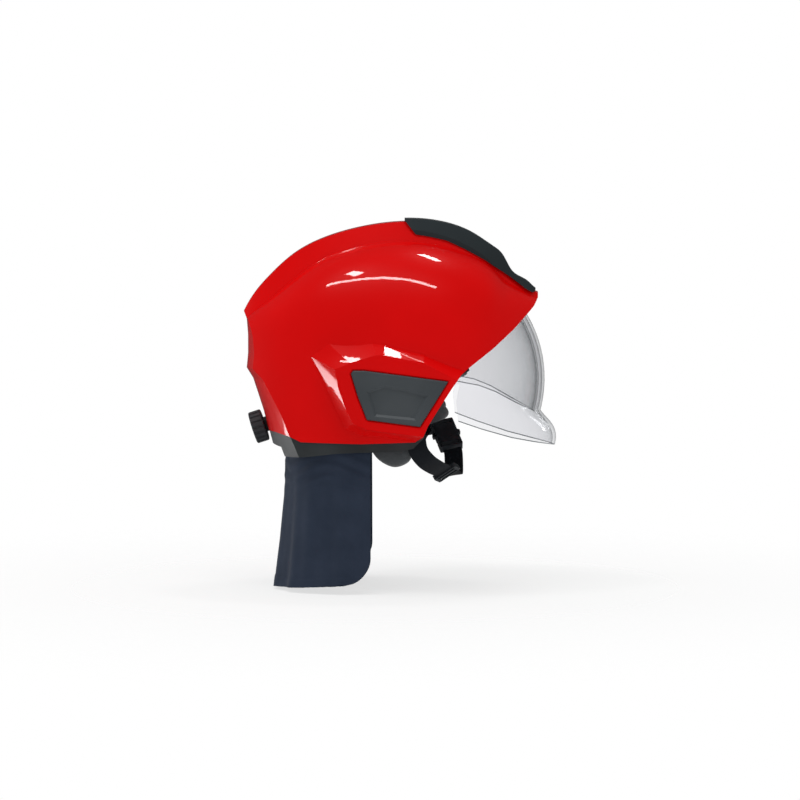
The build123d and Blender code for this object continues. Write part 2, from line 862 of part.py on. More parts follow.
# Pivot pins, screwed into the bosses from inside, and the washers between the ears
pin_head_face = lens_half_width - lens_wall - face_gap
for side, hand in ((-1, "right"), (1, "left")):
    with BuildPart() as pivot_pin:
        with BuildSketch(Plane.XZ.offset(-side * pin_head_face)):
            with Locations((pivot_x, pivot_z)):
                Circle(pin_radius)
        extrude(amount=-side * (boss_foot + pin_seat_depth - seat_gap - pin_head_face))
        with BuildSketch(Plane.XZ.offset(-side * pin_head_face)):
            with Locations((pivot_x, pivot_z)):
                Circle(pin_head_radius)
        extrude(amount=side * pin_head_height)
        with BuildSketch(Plane.XZ.offset(-side * (pin_head_face - pin_head_height))):
            with Locations((pivot_x, pivot_z)):
                RegularPolygon(socket_across / 2, 6)
        extrude(amount=-side * socket_depth, mode=Mode.SUBTRACT)
    finish(pivot_pin.part, "pivot_pin_" + hand)
    with BuildPart() as friction_washer:
        washer_foot = lens_half_width + face_gap
        with BuildSketch(Plane.XZ.offset(-side * washer_foot)):
            with Locations((pivot_x, pivot_z)):
                Circle(washer_radius)
                Circle(pin_radius + seat_gap, mode=Mode.SUBTRACT)
        extrude(amount=-side * (shield_half_width - shield_wall - face_gap - washer_foot))
    finish(friction_washer.part, "friction_washer_" + hand)


def ellipsoid(length, width, height):
    """Solid egg of these half lengths about the liner's middle."""
    with BuildPart(mode=Mode.PRIVATE) as egg:
        Sphere(1)
        scale(by=(length, width, height))
    return egg.part.moved(Location((0, 0, liner_middle)))


liner_edge = side_points(liner_edge_shares, liner_length, liner_middle)
liner_top = liner_middle + liner_height + overrun

# Foam liner: an egg-shaped cap, cut along its lower edge
with BuildPart() as impact_liner:
    add(ellipsoid(liner_length, liner_width, liner_height))
    add(
        ellipsoid(
            liner_length - liner_front_wall,
            liner_width - liner_side_wall,
            liner_height - liner_top_wall,
        ),
        mode=Mode.SUBTRACT,
    )
    liner_corners = [(liner_edge[-1][0], liner_top), (liner_edge[0][0], liner_top)]
    add(side_prism([*liner_edge, *liner_corners], half_block), mode=Mode.INTERSECT)
finish(impact_liner.part, "impact_liner")

# Headband: front band and brow pad


def band_ring(outer_gap, thickness):
    """Ring section of the band: its outer face drawn in by outer_gap."""
    with BuildSketch(band_plane) as ring:
        Ellipse(band_length - outer_gap, band_width - outer_gap)
        Ellipse(
            band_length - outer_gap - thickness,
            band_width - outer_gap - thickness,
            mode=Mode.SUBTRACT,
        )
    return ring.sketch


with BuildPart() as headband_front:
    extrude(band_ring(0, band_wall), amount=band_front_height / 2, both=True)
    with BuildSketch(band_plane):
        with Locations((band_split - band_length, 0)):
            Rectangle(2 * band_length, 4 * band_width)
    extrude(amount=band_front_height, both=True, mode=Mode.SUBTRACT)
finish(headband_front.part, "headband_front")

with BuildPart() as brow_pad:
    extrude(band_ring(band_wall + soft_gap, brow_pad_thickness), amount=brow_pad_height / 2, both=True)
    with BuildSketch(band_plane):
        with Locations((band_length * math.cos(math.radians(brow_pad_angle)) - band_length, 0)):
            Rectangle(2 * band_length, 4 * band_width)
    extrude(amount=band_front_height, both=True, mode=Mode.SUBTRACT)
    fillet(brow_pad.edges().filter_by(GeomType.ELLIPSE), brow_pad_thickness * pad_edge_share)
finish(brow_pad.part, "brow_pad")


def signed(points, side):
    """Points turned over to the right side, up for down as well."""
    return [(side * a, side * b) for a, b in points]


tooth_pitch = 2 * math.pi * tooth_pitch_radius / pinion_teeth
tooth_root = tooth_pitch * tooth_share
tooth_tip = tooth_root * tooth_tip_share
strip_low = tooth_pitch_radius + tooth_addendum + tooth_clearance
tooth_end = strip_low - 2 * tooth_addendum - tooth_clearance
full = band_rear_height / 2

# Rear halves of the headband, each with its rack: plan outline cut to the elevation
for side, hand in ((-1, "right"), (1, "left")):
    with BuildPart() as headband_half:
        with BuildSketch(band_plane):
            with BuildLine():
                for inner in (0, band_wall):
                    back, wide = band_length - inner, band_width - inner
                    Line((-back, -side * rack_reach), (-back, side * rack_straight))
                    Bezier(
                        (-back, side * rack_straight),
                        (-back, side * (rack_straight + (wide - rack_straight) * band_turn_share)),
                        (-back * band_corner_share, side * wide),
                        (band_split - band_half_gap, side * wide),
                    )
                Line((-band_length, -side * rack_reach), (band_wall - band_length, -side * rack_reach))
                Line(
                    (band_split - band_half_gap, side * band_width),
                    (band_split - band_half_gap, side * (band_width - band_wall)),
                )
            make_face()
        extrude(amount=band_rear_height, both=True)
        teeth = []
        for index in range(first_tooth, last_tooth + 1):
            middle = tooth_pitch * (index + 0.5)
            teeth += [
                (middle - tooth_root / 2, strip_low),
                (middle - tooth_tip / 2, tooth_end),
                (middle + tooth_tip / 2, tooth_end),
                (middle + tooth_root / 2, strip_low),
            ]
        with BuildSketch(facing_plane(band_length + overrun)):
            with BuildLine():
                Polyline(
                    *signed(
                        [
                            (-rack_reach - overrun, strip_low + rack_strip_height),
                            (-rack_reach - overrun, strip_low),
                            *teeth,
                            (rack_straight, strip_low),
                            (rack_taper, -full),
                            (2 * band_width, -full),
                            (2 * band_width, full),
                            (rack_taper, full),
                            (rack_straight, strip_low + rack_strip_height),
                        ],
                        side,
                    ),
                    close=True,
                )
            make_face()
        extrude(amount=2 * band_length, mode=Mode.INTERSECT)
    finish(headband_half.part, "headband_rear_" + hand)

# Ratchet housing behind the racks, open to both sides, with a boss for the shaft
with BuildPart() as ratchet_housing:
    housing_back = band_length + housing_gap + housing_back_wall
    housing_face = band_length - band_wall - housing_gap
    with BuildSketch(facing_plane(housing_back)):
        RectangleRounded(2 * housing_half_width, housing_height, housing_round)
    extrude(amount=housing_back - housing_face)
    with BuildSketch(facing_plane(band_length + housing_gap)):
        Rectangle(3 * housing_half_width, housing_height - 2 * housing_wall)
    extrude(amount=housing_depth, mode=Mode.SUBTRACT)
    with BuildSketch(facing_plane(knob_stand - face_gap)):
        Circle(knob_hub_radius)
    extrude(amount=knob_stand - face_gap - housing_back + fuse_depth)
    with BuildSketch(facing_plane(knob_stand)):
        Circle(shaft_radius + running_gap)
    extrude(amount=housing_depth + knob_stand, mode=Mode.SUBTRACT)
finish(ratchet_housing.part, "ratchet_housing")

with BuildPart() as ratchet_cover:
    with BuildSketch(facing_plane(housing_face - seat_gap)):
        RectangleRounded(2 * housing_half_width, housing_height, housing_round)
    extrude(amount=housing_wall)
finish(ratchet_cover.part, "ratchet_cover")

# Knob with ribs, its shaft and the pinion between the racks
with BuildPart() as size_knob:
    with BuildSketch(facing_plane(knob_stand + knob_depth)):
        Circle(knob_radius)
    extrude(amount=knob_depth)
    fillet(size_knob.edges().filter_by(GeomType.CIRCLE), knob_round)
    with BuildSketch(facing_plane(knob_stand + knob_depth)):
        with PolarLocations(knob_radius, knob_ribs):
            Circle(knob_rib_radius)
    extrude(amount=knob_depth, mode=Mode.SUBTRACT)
    with BuildSketch(facing_plane(knob_stand + knob_depth)):
        Circle(knob_radius * knob_dish_share)
    extrude(amount=knob_depth * knob_dish_depth_share, mode=Mode.SUBTRACT)
    with BuildSketch(facing_plane(knob_stand + fuse_depth)):
        Circle(shaft_radius)
    extrude(amount=knob_stand + fuse_depth - band_length)
    with BuildSketch(facing_plane(band_length)):
        with BuildLine():
            outline = []
            for index in range(pinion_teeth):
                turn = 2 * math.pi * (index + 0.5) / pinion_teeth + math.pi / 2
                step = 2 * math.pi / pinion_teeth
                for share, radius in (
                    (-pinion_root_share, pinion_root_radius),
                    (-pinion_tip_share, tooth_pitch_radius + tooth_addendum),
                    (pinion_tip_share, tooth_pitch_radius + tooth_addendum),
                    (pinion_root_share, pinion_root_radius),
                ):
                    bend = turn + step * share + step / 2
                    outline.append((radius * math.cos(bend), radius * math.sin(bend)))
            Polyline(*outline, close=True)
        make_face()
    extrude(amount=band_wall)
finish(size_knob.part, "size_knob")


def cushion(plane, length, width, thickness):
    """A crowned pad on its plane: drawn-in sides, widest a third of the way up."""
    with BuildPart() as pad:
        for height_share, size_share in pad_swell_shares:
            with BuildSketch(plane.offset(thickness * height_share)):
                RectangleRounded(length * size_share, width * size_share, width * pad_corner_share)
        loft()
    return pad.part


finish(
    cushion(
        facing_plane(housing_face - seat_gap - housing_wall - soft_gap),
        nape_pad_width,
        nape_pad_height,
        nape_pad_thickness,
    ),
    "nape_pad",
)

# Cradle: a long strap under a cross strap, and the crown pad under both
cradle_length = liner_length - liner_front_wall - cradle_gap
cradle_half = liner_width - liner_side_wall - cradle_gap
cradle_height = liner_height - liner_top_wall - cradle_gap
cradle_drop = cradle_wall + cradle_cross_gap
for name, plane, across, drop, foot in (
    ("crown_strap_cross", Plane.YZ, cradle_half, 0, cradle_cross_foot),
    ("crown_strap_long", Plane.XZ, cradle_length, cradle_drop, cradle_long_foot),
):
    with BuildPart() as crown_strap:
        with BuildSketch(plane):
            with Locations((0, liner_middle)):
                Ellipse(across - drop, cradle_height - drop)
                Ellipse(across - drop - cradle_wall, cradle_height - drop - cradle_wall, mode=Mode.SUBTRACT)
                with Locations((0, foot - cradle_height)):
                    Rectangle(4 * cradle_length, 2 * cradle_height, mode=Mode.SUBTRACT)
        extrude(amount=cradle_width / 2, both=True)
    finish(crown_strap.part, name)

pad_drop = cradle_drop + cradle_wall + soft_gap
with BuildPart() as crown_pad:
    with BuildSketch(Plane.XY.offset(liner_middle)):
        RectangleRounded(crown_pad_length, crown_pad_width, crown_pad_width * pad_corner_share)
    extrude(amount=liner_height)
    add(
        ellipsoid(cradle_length - pad_drop, cradle_half - pad_drop, cradle_height - pad_drop),
        mode=Mode.INTERSECT,
    )
    inner_drop = pad_drop + crown_pad_thickness
    add(
        ellipsoid(cradle_length - inner_drop, cradle_half - inner_drop, cradle_height - inner_drop),
        mode=Mode.SUBTRACT,
    )
finish(crown_pad.part, "crown_pad")

# Cheek pads, swelling to the middle of their thickness
cheek_outline = side_points(cheek_shares, brim_reach, dome_height)
cheek_middle = [sum(values) / len(values) for values in zip(*cheek_outline)]
for side, hand in ((-1, "right"), (1, "left")):
    with BuildPart() as cheek_pad:
        for depth_share, size_share in cheek_swell_shares:
            stand = cheek_inner + cheek_thickness * depth_share
            ring = [
                tuple(middle + (value - middle) * size_share for value, middle in zip(corner, cheek_middle))
                for corner in cheek_outline
            ]
            with BuildSketch(Plane.XZ.offset(-side * stand)):
                with BuildLine():
                    for index in range(0, len(ring), 2):
                        after = ring[(index + 2) % len(ring)]
                        ThreePointArc(ring[index], ring[index + 1], after)
                make_face()
        loft()
    finish(cheek_pad.part, "cheek_pad_" + hand)


def curtain_point(turn, reach, stand):
    """Plan point of the curtain: turn runs from -90 at the right end to 90 at the left."""
    c, s = abs(math.cos(math.radians(turn))), math.sin(math.radians(turn))
    power = 2 / curtain_roundness
    x = curtain_side_x - (curtain_length * reach - stand) * c**power
    y = (curtain_half_width - stand) * math.copysign(abs(s) ** power, s)
    return x, y


def curtain_ring(reach, fold, stand, wall_thickness):
    """Closed plan of a hanging band: outer arcs, an end, inner arcs, an end."""
    nodes = 2 * curtain_folds
    faces = []
    for inner in (0, wall_thickness):
        points = []
        for index in range(nodes + 1):
            turn = -90 + 180 * index / nodes
            bulge = fold if index % 4 == 1 else -fold if index % 4 == 3 else 0
            points.append(curtain_point(turn, reach, stand + inner - bulge))
        faces.append(points)
    with BuildLine() as outline:
        for points in faces:
            for index in range(0, nodes, 2):
                ThreePointArc(points[index], points[index + 1], points[index + 2])
        Line(faces[0][0], faces[1][0])
        Line(faces[0][-1], faces[1][-1])
    return outline.line


# Neck curtain with its folds, its front lower corners rounded, and the strip that holds it
with BuildPart() as neck_curtain:
    for height, reach, fold in curtain_rows:
        with BuildSketch(Plane.XY.offset(curtain_top + (curtain_top + curtain_drop) * height)):
            add(curtain_ring(reach, curtain_fold_depth * fold, 0, curtain_wall))
            make_face()
    loft()
    corner = (curtain_side_x + overrun, -curtain_drop - overrun)
    with BuildSketch(Plane.XZ):
        with BuildLine():
            Polyline(
                (curtain_side_x - curtain_corner, -curtain_drop),
                (curtain_side_x - curtain_corner, corner[1]),
                corner,
                (corner[0], curtain_corner - curtain_drop),
                (curtain_side_x, curtain_corner - curtain_drop),
            )
            RadiusArc(
                (curtain_side_x, curtain_corner - curtain_drop),
                (curtain_side_x - curtain_corner, -curtain_drop),
                curtain_corner,
            )
        make_face()
    extrude(amount=half_block, both=True, mode=Mode.SUBTRACT)
finish(neck_curtain.part, "neck_curtain")

with BuildPart() as curtain_strip:
    for height in (-strip_drop, curtain_top):
        with BuildSketch(Plane.XY.offset(height)):
            add(curtain_ring(1.0, 0, -strip_gap - strip_wall, strip_wall))
            make_face()
    loft()
finish(curtain_strip.part, "curtain_strip")


def route_points(route):
    """Places of a strap's route in millimetres."""
    return [
        Vector(strap_reach * row[0], strap_half_span * row[1], chin_drop * row[2])
        for row in route
    ]


def webbing(route):
    """Flat webbing along a route, straight from place to place."""
    places = route_points(route)
    with BuildPart() as band:
        for index, row in enumerate(route):
            before, after = places[max(index - 1, 0)], places[min(index + 1, len(places) - 1)]
            with BuildSketch(Plane(places[index], x_dir=(row[3], 0, row[4]), z_dir=after - before)):
                Rectangle(webbing_width, webbing_wall)
        loft(ruled=True)
    return band.part


finish(webbing(right_route), "chin_strap_right")
finish(webbing(left_route), "chin_strap_left")
finish(webbing(chin_route), "chin_strap_loop")

# Strap anchors inside the shell
for side, hand, route in ((-1, "right", right_route), (1, "left", left_route)):
    place = route_points(route)[0]
    with BuildPart() as strap_anchor:
        with BuildSketch(Plane.XZ.offset(-side * (abs(place.Y) + webbing_wall / 2 + soft_gap))):
            with Locations((place.X, place.Z)):
                RectangleRounded(anchor_width, anchor_height, anchor_corner)
        extrude(amount=-side * anchor_wall)
    finish(strap_anchor.part, "strap_anchor_" + hand)

# Side-release buckle
buckle_centre = Vector(
    strap_reach * buckle_place_shares[0],
    strap_half_span * buckle_place_shares[1],
    chin_drop * buckle_place_shares[2],
)
buckle_plane = Plane(buckle_centre, x_dir=buckle_width_way, z_dir=buckle_face_way)
arm_inner = buckle_width / 2 - socket_side_wall - face_gap - prong_width

with BuildPart() as buckle_socket:
    with BuildSketch(buckle_plane.offset(-buckle_thickness / 2)):
        with Locations((0, socket_length / 2)):
            RectangleRounded(buckle_width, socket_length, buckle_round)
    extrude(amount=buckle_thickness)
    with BuildSketch(buckle_plane.offset(socket_wall - buckle_thickness / 2)):
        with Locations((0, socket_cavity_depth / 2 - overrun / 2)):
            Rectangle(buckle_width - 2 * socket_side_wall, socket_cavity_depth + overrun)
        with Locations((0, socket_cavity_depth * (window_low_share + window_high_share) / 2)):
            Rectangle(buckle_width + overrun, socket_cavity_depth * (window_high_share - window_low_share))
    extrude(amount=buckle_thickness - 2 * socket_wall, mode=Mode.SUBTRACT)
    with BuildSketch(buckle_plane.offset(-buckle_thickness)):
        with Locations((0, socket_length - bar_slot_margin - bar_slot_length / 2)):
            Rectangle(webbing_width + 2 * face_gap, bar_slot_length)
    extrude(amount=2 * buckle_thickness, mode=Mode.SUBTRACT)
finish(buckle_socket.part, "buckle_socket")

with BuildPart() as buckle_plug:
    with BuildSketch(buckle_plane.offset(-buckle_thickness / 2)):
        with Locations((0, -plug_joint_gap - plug_base_length / 2)):
            RectangleRounded(buckle_width, plug_base_length, buckle_round)
    extrude(amount=buckle_thickness)
    with BuildSketch(buckle_plane.offset(-buckle_thickness)):
        with Locations((0, -plug_joint_gap - plug_base_length + bar_slot_margin + bar_slot_length / 2)):
            Rectangle(webbing_width + 2 * face_gap, bar_slot_length)
    extrude(amount=2 * buckle_thickness, mode=Mode.SUBTRACT)
    tongue = buckle_thickness - 2 * socket_wall - 2 * prong_gap
    with BuildSketch(buckle_plane.offset(-tongue / 2)):
        with Locations((0, socket_cavity_depth / 2 - fuse_depth)):
            Rectangle(guide_width, socket_cavity_depth - 2 * face_gap)
    extrude(amount=tongue)
finish(buckle_plug.part, "buckle_plug")

for side, hand in ((-1, "rear"), (1, "front")):
    with BuildPart() as buckle_prong:
        foot = prong_root_gap - plug_joint_gap + seat_gap
        outline = [
            (
                side * (arm_inner + prong_width * wide + prong_shoulder * out),
                foot + (socket_cavity_depth - foot) * up,
            )
            for wide, out, up in prong_shares
        ]
        with BuildSketch(buckle_plane.offset(-tongue / 2)):
            with BuildLine():
                Polyline(*outline, close=True)
            make_face()
        extrude(amount=tongue)
    finish(buckle_prong.part, "buckle_prong_" + hand)

# Ladder-lock on the right strap and the loose end of webbing folded back at the chin
low, high = route_points(right_route)[-1], route_points(right_route)[-2]
slider_way = (right_route[-1][3], 0, right_route[-1][4])
slider_plane = Plane(low + (high - low) * slider_share, x_dir=slider_way, z_dir=high - low)
slider_frame = Plane(slider_plane.origin, x_dir=slider_plane.x_dir, z_dir=slider_plane.y_dir)
with BuildPart() as strap_slider:
    with BuildSketch(slider_frame.offset(-slider_thickness / 2)):
        RectangleRounded(webbing_width + 2 * slider_margin, slider_length, buckle_round)
    extrude(amount=slider_thickness)
    with BuildSketch(slider_plane.offset(-slider_length)):
        Rectangle(webbing_width + 2 * soft_gap, webbing_wall + 2 * soft_gap)
    extrude(amount=2 * slider_length, mode=Mode.SUBTRACT)
    for end in (-1, 1):
        with BuildSketch(slider_frame.offset(-slider_thickness)):
            with Locations((0, end * (slider_length / 4))):
                Rectangle(webbing_width + 2 * soft_gap, slider_length / 2 - slider_bar)
        extrude(amount=2 * slider_thickness, mode=Mode.SUBTRACT)
finish(strap_slider.part, "strap_slider")
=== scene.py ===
import json
import math

import bmesh
import bpy
import numpy as np
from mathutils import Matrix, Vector


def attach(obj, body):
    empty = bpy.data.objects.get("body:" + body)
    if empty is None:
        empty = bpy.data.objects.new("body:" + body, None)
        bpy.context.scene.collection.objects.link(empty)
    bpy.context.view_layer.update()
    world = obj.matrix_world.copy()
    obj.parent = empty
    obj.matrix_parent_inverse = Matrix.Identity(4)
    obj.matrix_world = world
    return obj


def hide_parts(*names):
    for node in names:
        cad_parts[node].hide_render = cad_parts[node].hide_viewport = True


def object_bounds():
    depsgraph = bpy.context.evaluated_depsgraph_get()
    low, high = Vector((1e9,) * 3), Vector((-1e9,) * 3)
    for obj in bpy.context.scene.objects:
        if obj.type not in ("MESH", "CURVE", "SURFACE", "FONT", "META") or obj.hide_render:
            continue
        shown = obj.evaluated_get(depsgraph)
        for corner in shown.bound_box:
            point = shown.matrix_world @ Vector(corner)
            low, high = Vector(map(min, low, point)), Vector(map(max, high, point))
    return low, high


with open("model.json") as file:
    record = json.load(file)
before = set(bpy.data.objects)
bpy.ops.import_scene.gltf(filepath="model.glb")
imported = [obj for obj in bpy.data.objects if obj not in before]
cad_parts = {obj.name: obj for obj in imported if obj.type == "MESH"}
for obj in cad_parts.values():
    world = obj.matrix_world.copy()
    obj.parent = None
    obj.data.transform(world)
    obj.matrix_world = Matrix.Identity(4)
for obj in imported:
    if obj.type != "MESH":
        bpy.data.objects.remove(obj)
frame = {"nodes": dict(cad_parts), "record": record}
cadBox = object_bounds()
print("frame loaded", cadBox)

scene = bpy.context.scene
scene.view_settings.view_transform = "Standard"
mm = 0.001

# The photograph's view: the wearer's right side, from a little above level, in metres and degrees
camera = {
    "distance": 3.0, "elevation": 2.5, "target": (0.02675, 0.0, 0.04165), "fieldOfView": 16.24, "farthest": 50,
}


def placeCamera():
    # the camera stands on the wearer's right, at a distance and an elevation from its target
    tilt = math.radians(camera["elevation"])
    away = Vector((0, -math.cos(tilt), math.sin(tilt))) * camera["distance"]
    data = bpy.data.cameras.new("camera")
    data.lens_unit = "FOV"
    data.angle = math.radians(camera["fieldOfView"])
    data.clip_end = camera["farthest"]
    eye = bpy.data.objects.new("camera", data)
    scene.collection.objects.link(eye)
    eye.location = Vector(camera["target"]) + away
    eye.rotation_euler = (-away).to_track_quat("-Z", "Y").to_euler()
    scene.camera = eye


placeCamera()

# Materials: pattern scales are one over a size in metres, depths are in metres


def linear(hexColour):
    # each sRGB part goes through the standard's curve: a straight foot, then a power of 2.4
    parts = [int(hexColour[i:i + 2], 16) / 255 for i in (1, 3, 5)]
    return [p / 12.92 if p <= 0.04045 else ((p + 0.055) / 1.055) ** 2.4 for p in parts] + [1.0]


def addNode(tree, kind, settings=None, sockets=None, out=0):
    # one node: settings are its properties; each socket takes a value, a hex colour or the
    # output of another node; gives back the output that out names
    node = tree.nodes.new("ShaderNode" + kind)
    for key, value in (settings or {}).items():
        setattr(node, key, value)
    for key, value in (sockets or {}).items():
        if isinstance(value, bpy.types.NodeSocket):
            tree.links.new(value, node.inputs[key])
        else:
            node.inputs[key].default_value = linear(value) if isinstance(value, str) else value
    return node.outputs[out]


def newMaterial(name):
    # an empty node material and the coordinates that its patterns read
    material = bpy.data.materials.new(name)
    material.use_nodes = True
    tree = material.node_tree
    tree.nodes.clear()
    return material, tree, addNode(tree, "TexCoord", out="Object")


def finishTree(tree, kind, shader):
    # the shader goes to the output of a material or of the world
    node = tree.nodes.new("ShaderNodeOutput" + kind)
    tree.links.new(shader, node.inputs["Surface"])


def finishMaterial(tree, **sockets):
    # the Principled shader with its values, named with _ for a space, and the output
    named = {key.replace("_", " "): value for key, value in sockets.items()}
    finishTree(tree, "Material", addNode(tree, "BsdfPrincipled", sockets=named))


def mottle(tree, where, scale, spread, colours):
    # blotches about one over the scale across, and the colour that goes with them from the
    # first to the second one over the spread about their middle value
    blotch = addNode(tree, "TexNoise", sockets={"Vector": where, "Scale": scale, "Detail": 3.0})
    low, high = spread
    shade = addNode(tree, "MapRange", sockets={"Value": blotch, "From Min": low, "From Max": high})
    return blotch, addNode(tree, "Mix", {"data_type": "RGBA"}, {0: shade, 6: colours[0], 7: colours[1]}, 2)


def paintedShell(name, colours, roughness, coat):
    # moulded thermoplastic, sprayed and lacquered: a deep even colour under a clear gloss,
    # with the faint orange peel of sprayed lacquer, about 2 mm across
    material, tree, where = newMaterial(name)
    colour = mottle(tree, where, 9.0, (0.35, 0.65), colours)[1]
    peel = addNode(tree, "TexNoise", sockets={"Vector": where, "Scale": 480.0, "Detail": 2.0})
    bump = addNode(tree, "Bump", sockets={"Height": peel, "Distance": 0.00002, "Strength": 0.35})
    finishMaterial(
        tree, Base_Color=colour, Roughness=roughness, IOR=1.5, Specular_IOR_Level=0.06, Coat_Weight=coat,
        Coat_IOR=1.45, Coat_Roughness=0.03, Normal=bump,
    )
    return material


def mouldedPlastic(name, colours, roughness, grain, depth):
    # injection moulded ABS, nylon or rubber with a fine spark-eroded grain, grain metres across
    material, tree, where = newMaterial(name)
    blotch, colour = mottle(tree, where, 22.0, (0.35, 0.65), colours)
    matt = addNode(tree, "MapRange", sockets={
        "Value": blotch, "From Min": 0.3, "From Max": 0.7,
        "To Min": roughness - 0.05, "To Max": roughness + 0.05,
    })
    pits = addNode(tree, "TexNoise", sockets={
        "Vector": where, "Scale": 1 / grain, "Detail": 3.0, "Roughness": 0.7,
    })
    bump = addNode(tree, "Bump", sockets={"Height": pits, "Distance": depth, "Strength": 0.6})
    finishMaterial(tree, Base_Color=colour, Roughness=matt, IOR=1.5, Normal=bump)
    return material


# The painted shade line along the polished edge of a shield, in metres above its lowest line: full tone, then
# clear
polishedEdge = {"full": 0.0004, "clear": 0.0013}


def clearShield(name, colours, bound, edgeLines):
    # hard-coated polycarbonate sheet, cast clear: thin, so it is drawn as a tinted pane that
    # light passes straight through, deeper in tint where it is seen along the sheet, with gloss
    # on its outer faces only
    material, tree, where = newMaterial(name)
    along = addNode(tree, "LayerWeight", sockets={"Blend": 0.35}, out="Facing")
    tint = addNode(tree, "Mix", {"data_type": "RGBA"}, {0: along, 6: colours["face"], 7: colours["edge"]}, 2)
    # painted shade of the polished lower edge, which pipes its light away: a dark line where the
    # height meets the lowest or highest of a few straight lines over the length, each a slope and a rise
    apart = addNode(tree, "SeparateXYZ", sockets={"Vector": where}, out="X")
    level = addNode(tree, "SeparateXYZ", sockets={"Vector": where}, out="Z")
    low = None
    for slope, rise in edgeLines:
        line = addNode(tree, "Math", {"operation": "MULTIPLY_ADD"}, {0: apart, 1: slope, 2: rise})
        low = addNode(tree, "Math", {"operation": bound}, {0: low, 1: line}) if low else line
    above = addNode(tree, "Math", {"operation": "SUBTRACT"}, {0: level, 1: low})
    paintedEdgeShade = addNode(tree, "MapRange", sockets={
        "Value": above, "From Min": polishedEdge["full"], "From Max": polishedEdge["clear"],
        "To Min": 1.0, "To Max": 0.0,
    })
    # the rim colour is painted shade along the edge, mixed into the pane's tint
    tint = addNode(tree, "Mix", {"data_type": "RGBA"}, {0: paintedEdgeShade, 6: tint, 7: colours["rim"]}, 2)
    pane = addNode(tree, "BsdfTransparent", sockets={"Color": tint})
    gloss = addNode(tree, "BsdfGlossy", sockets={"Color": "#FFFFFF", "Roughness": 0.03})
    outer = addNode(tree, "Math", {"operation": "SUBTRACT"}, {
        0: 1.0, 1: addNode(tree, "NewGeometry", out="Backfacing"),
    })
    share = addNode(tree, "Math", {"operation": "MULTIPLY"}, {
        0: addNode(tree, "Fresnel", sockets={"IOR": 1.35}), 1: outer,
    })
    finishTree(tree, "Material", addNode(tree, "MixShader", sockets={0: share, 1: pane, 2: gloss}))
    return material


def wovenCloth(name, colours, thread, depth, roughness=0.9, sheen=0.2):
    # plain-woven aramid or polyester: threads of the given width in metres cross over and
    # under, read along the piece's own UV map, in metres; a wave texture's bands lie 2 pi over
    # 20 times its scale apart, which is made two threads here
    material, tree, where = newMaterial(name)
    flat = addNode(tree, "UVMap")
    scale = math.pi / (thread * 20)
    warp, weft = [
        addNode(tree, "TexWave", {"wave_type": "BANDS", "bands_direction": way, "wave_profile": "SIN"}, {
            "Vector": flat, "Scale": scale, "Distortion": 0.6, "Detail": 1.0, "Detail Scale": 2.0,
        }, "Fac") for way in "XY"
    ]
    over = addNode(tree, "Math", {"operation": "MULTIPLY"}, {0: warp, 1: weft})
    blotch = addNode(tree, "TexNoise", sockets={"Vector": where, "Scale": 30.0, "Detail": 3.0})
    worn = addNode(tree, "MapRange", sockets={"Value": blotch, "From Min": 0.3, "From Max": 0.7, "To Max": 0.4})
    shade = addNode(tree, "Math", {"operation": "MULTIPLY_ADD"}, {0: over, 1: 0.55, 2: worn})
    colour = addNode(tree, "Mix", {"data_type": "RGBA"}, {0: shade, 6: colours[0], 7: colours[1]}, 2)
    bump = addNode(tree, "Bump", sockets={"Height": over, "Distance": depth, "Strength": 0.8})
    finishMaterial(
        tree, Base_Color=colour, Roughness=roughness, IOR=1.45, Specular_IOR_Level=0.12, Sheen_Weight=sheen,
        Sheen_Roughness=0.5, Normal=bump,
    )
    return material


def knittedPad(name, colours, depth):
    # brushed knit laminated on foam: a soft nap of loops about 1.2 mm across
    material, tree, where = newMaterial(name)
    colour = mottle(tree, where, 60.0, (0.3, 0.7), colours)[1]
    loops = addNode(tree, "TexVoronoi", sockets={"Vector": where, "Scale": 820.0}, out="Distance")
    bump = addNode(tree, "Bump", sockets={"Height": loops, "Distance": depth, "Strength": 0.7})
    finishMaterial(
        tree, Base_Color=colour, Roughness=0.95, IOR=1.45, Sheen_Weight=0.3, Sheen_Roughness=0.6, Normal=bump,
    )
    return material


def platedSteel(name, colour):
    # zinc-plated, machined steel: a fine turned grain that blurs the gloss
    material, tree, where = newMaterial(name)
    grain = addNode(tree, "TexNoise", sockets={"Vector": where, "Scale": 300.0, "Detail": 3.0})
    matt = addNode(tree, "MapRange", sockets={
        "Value": grain, "From Min": 0.3, "From Max": 0.7, "To Min": 0.26, "To Max": 0.40,
    })
    finishMaterial(tree, Base_Color=colour, Metallic=1.0, Roughness=matt)
    return material


def beadFoam(name, colours):
    # expanded polystyrene, painted: beads about 4 mm across press flat against each other
    material, tree, where = newMaterial(name)
    beads = addNode(
        tree, "TexVoronoi", {"feature": "DISTANCE_TO_EDGE"}, {"Vector": where, "Scale": 260.0}, "Distance",
    )
    edge = addNode(tree, "MapRange", sockets={"Value": beads, "From Max": 0.12})
    colour = addNode(tree, "Mix", {"data_type": "RGBA"}, {0: edge, 6: colours[0], 7: colours[1]}, 2)
    bump = addNode(tree, "Bump", sockets={"Height": edge, "Distance": 0.0002, "Strength": 0.6})
    finishMaterial(tree, Base_Color=colour, Roughness=0.8, IOR=1.45, Normal=bump)
    return material


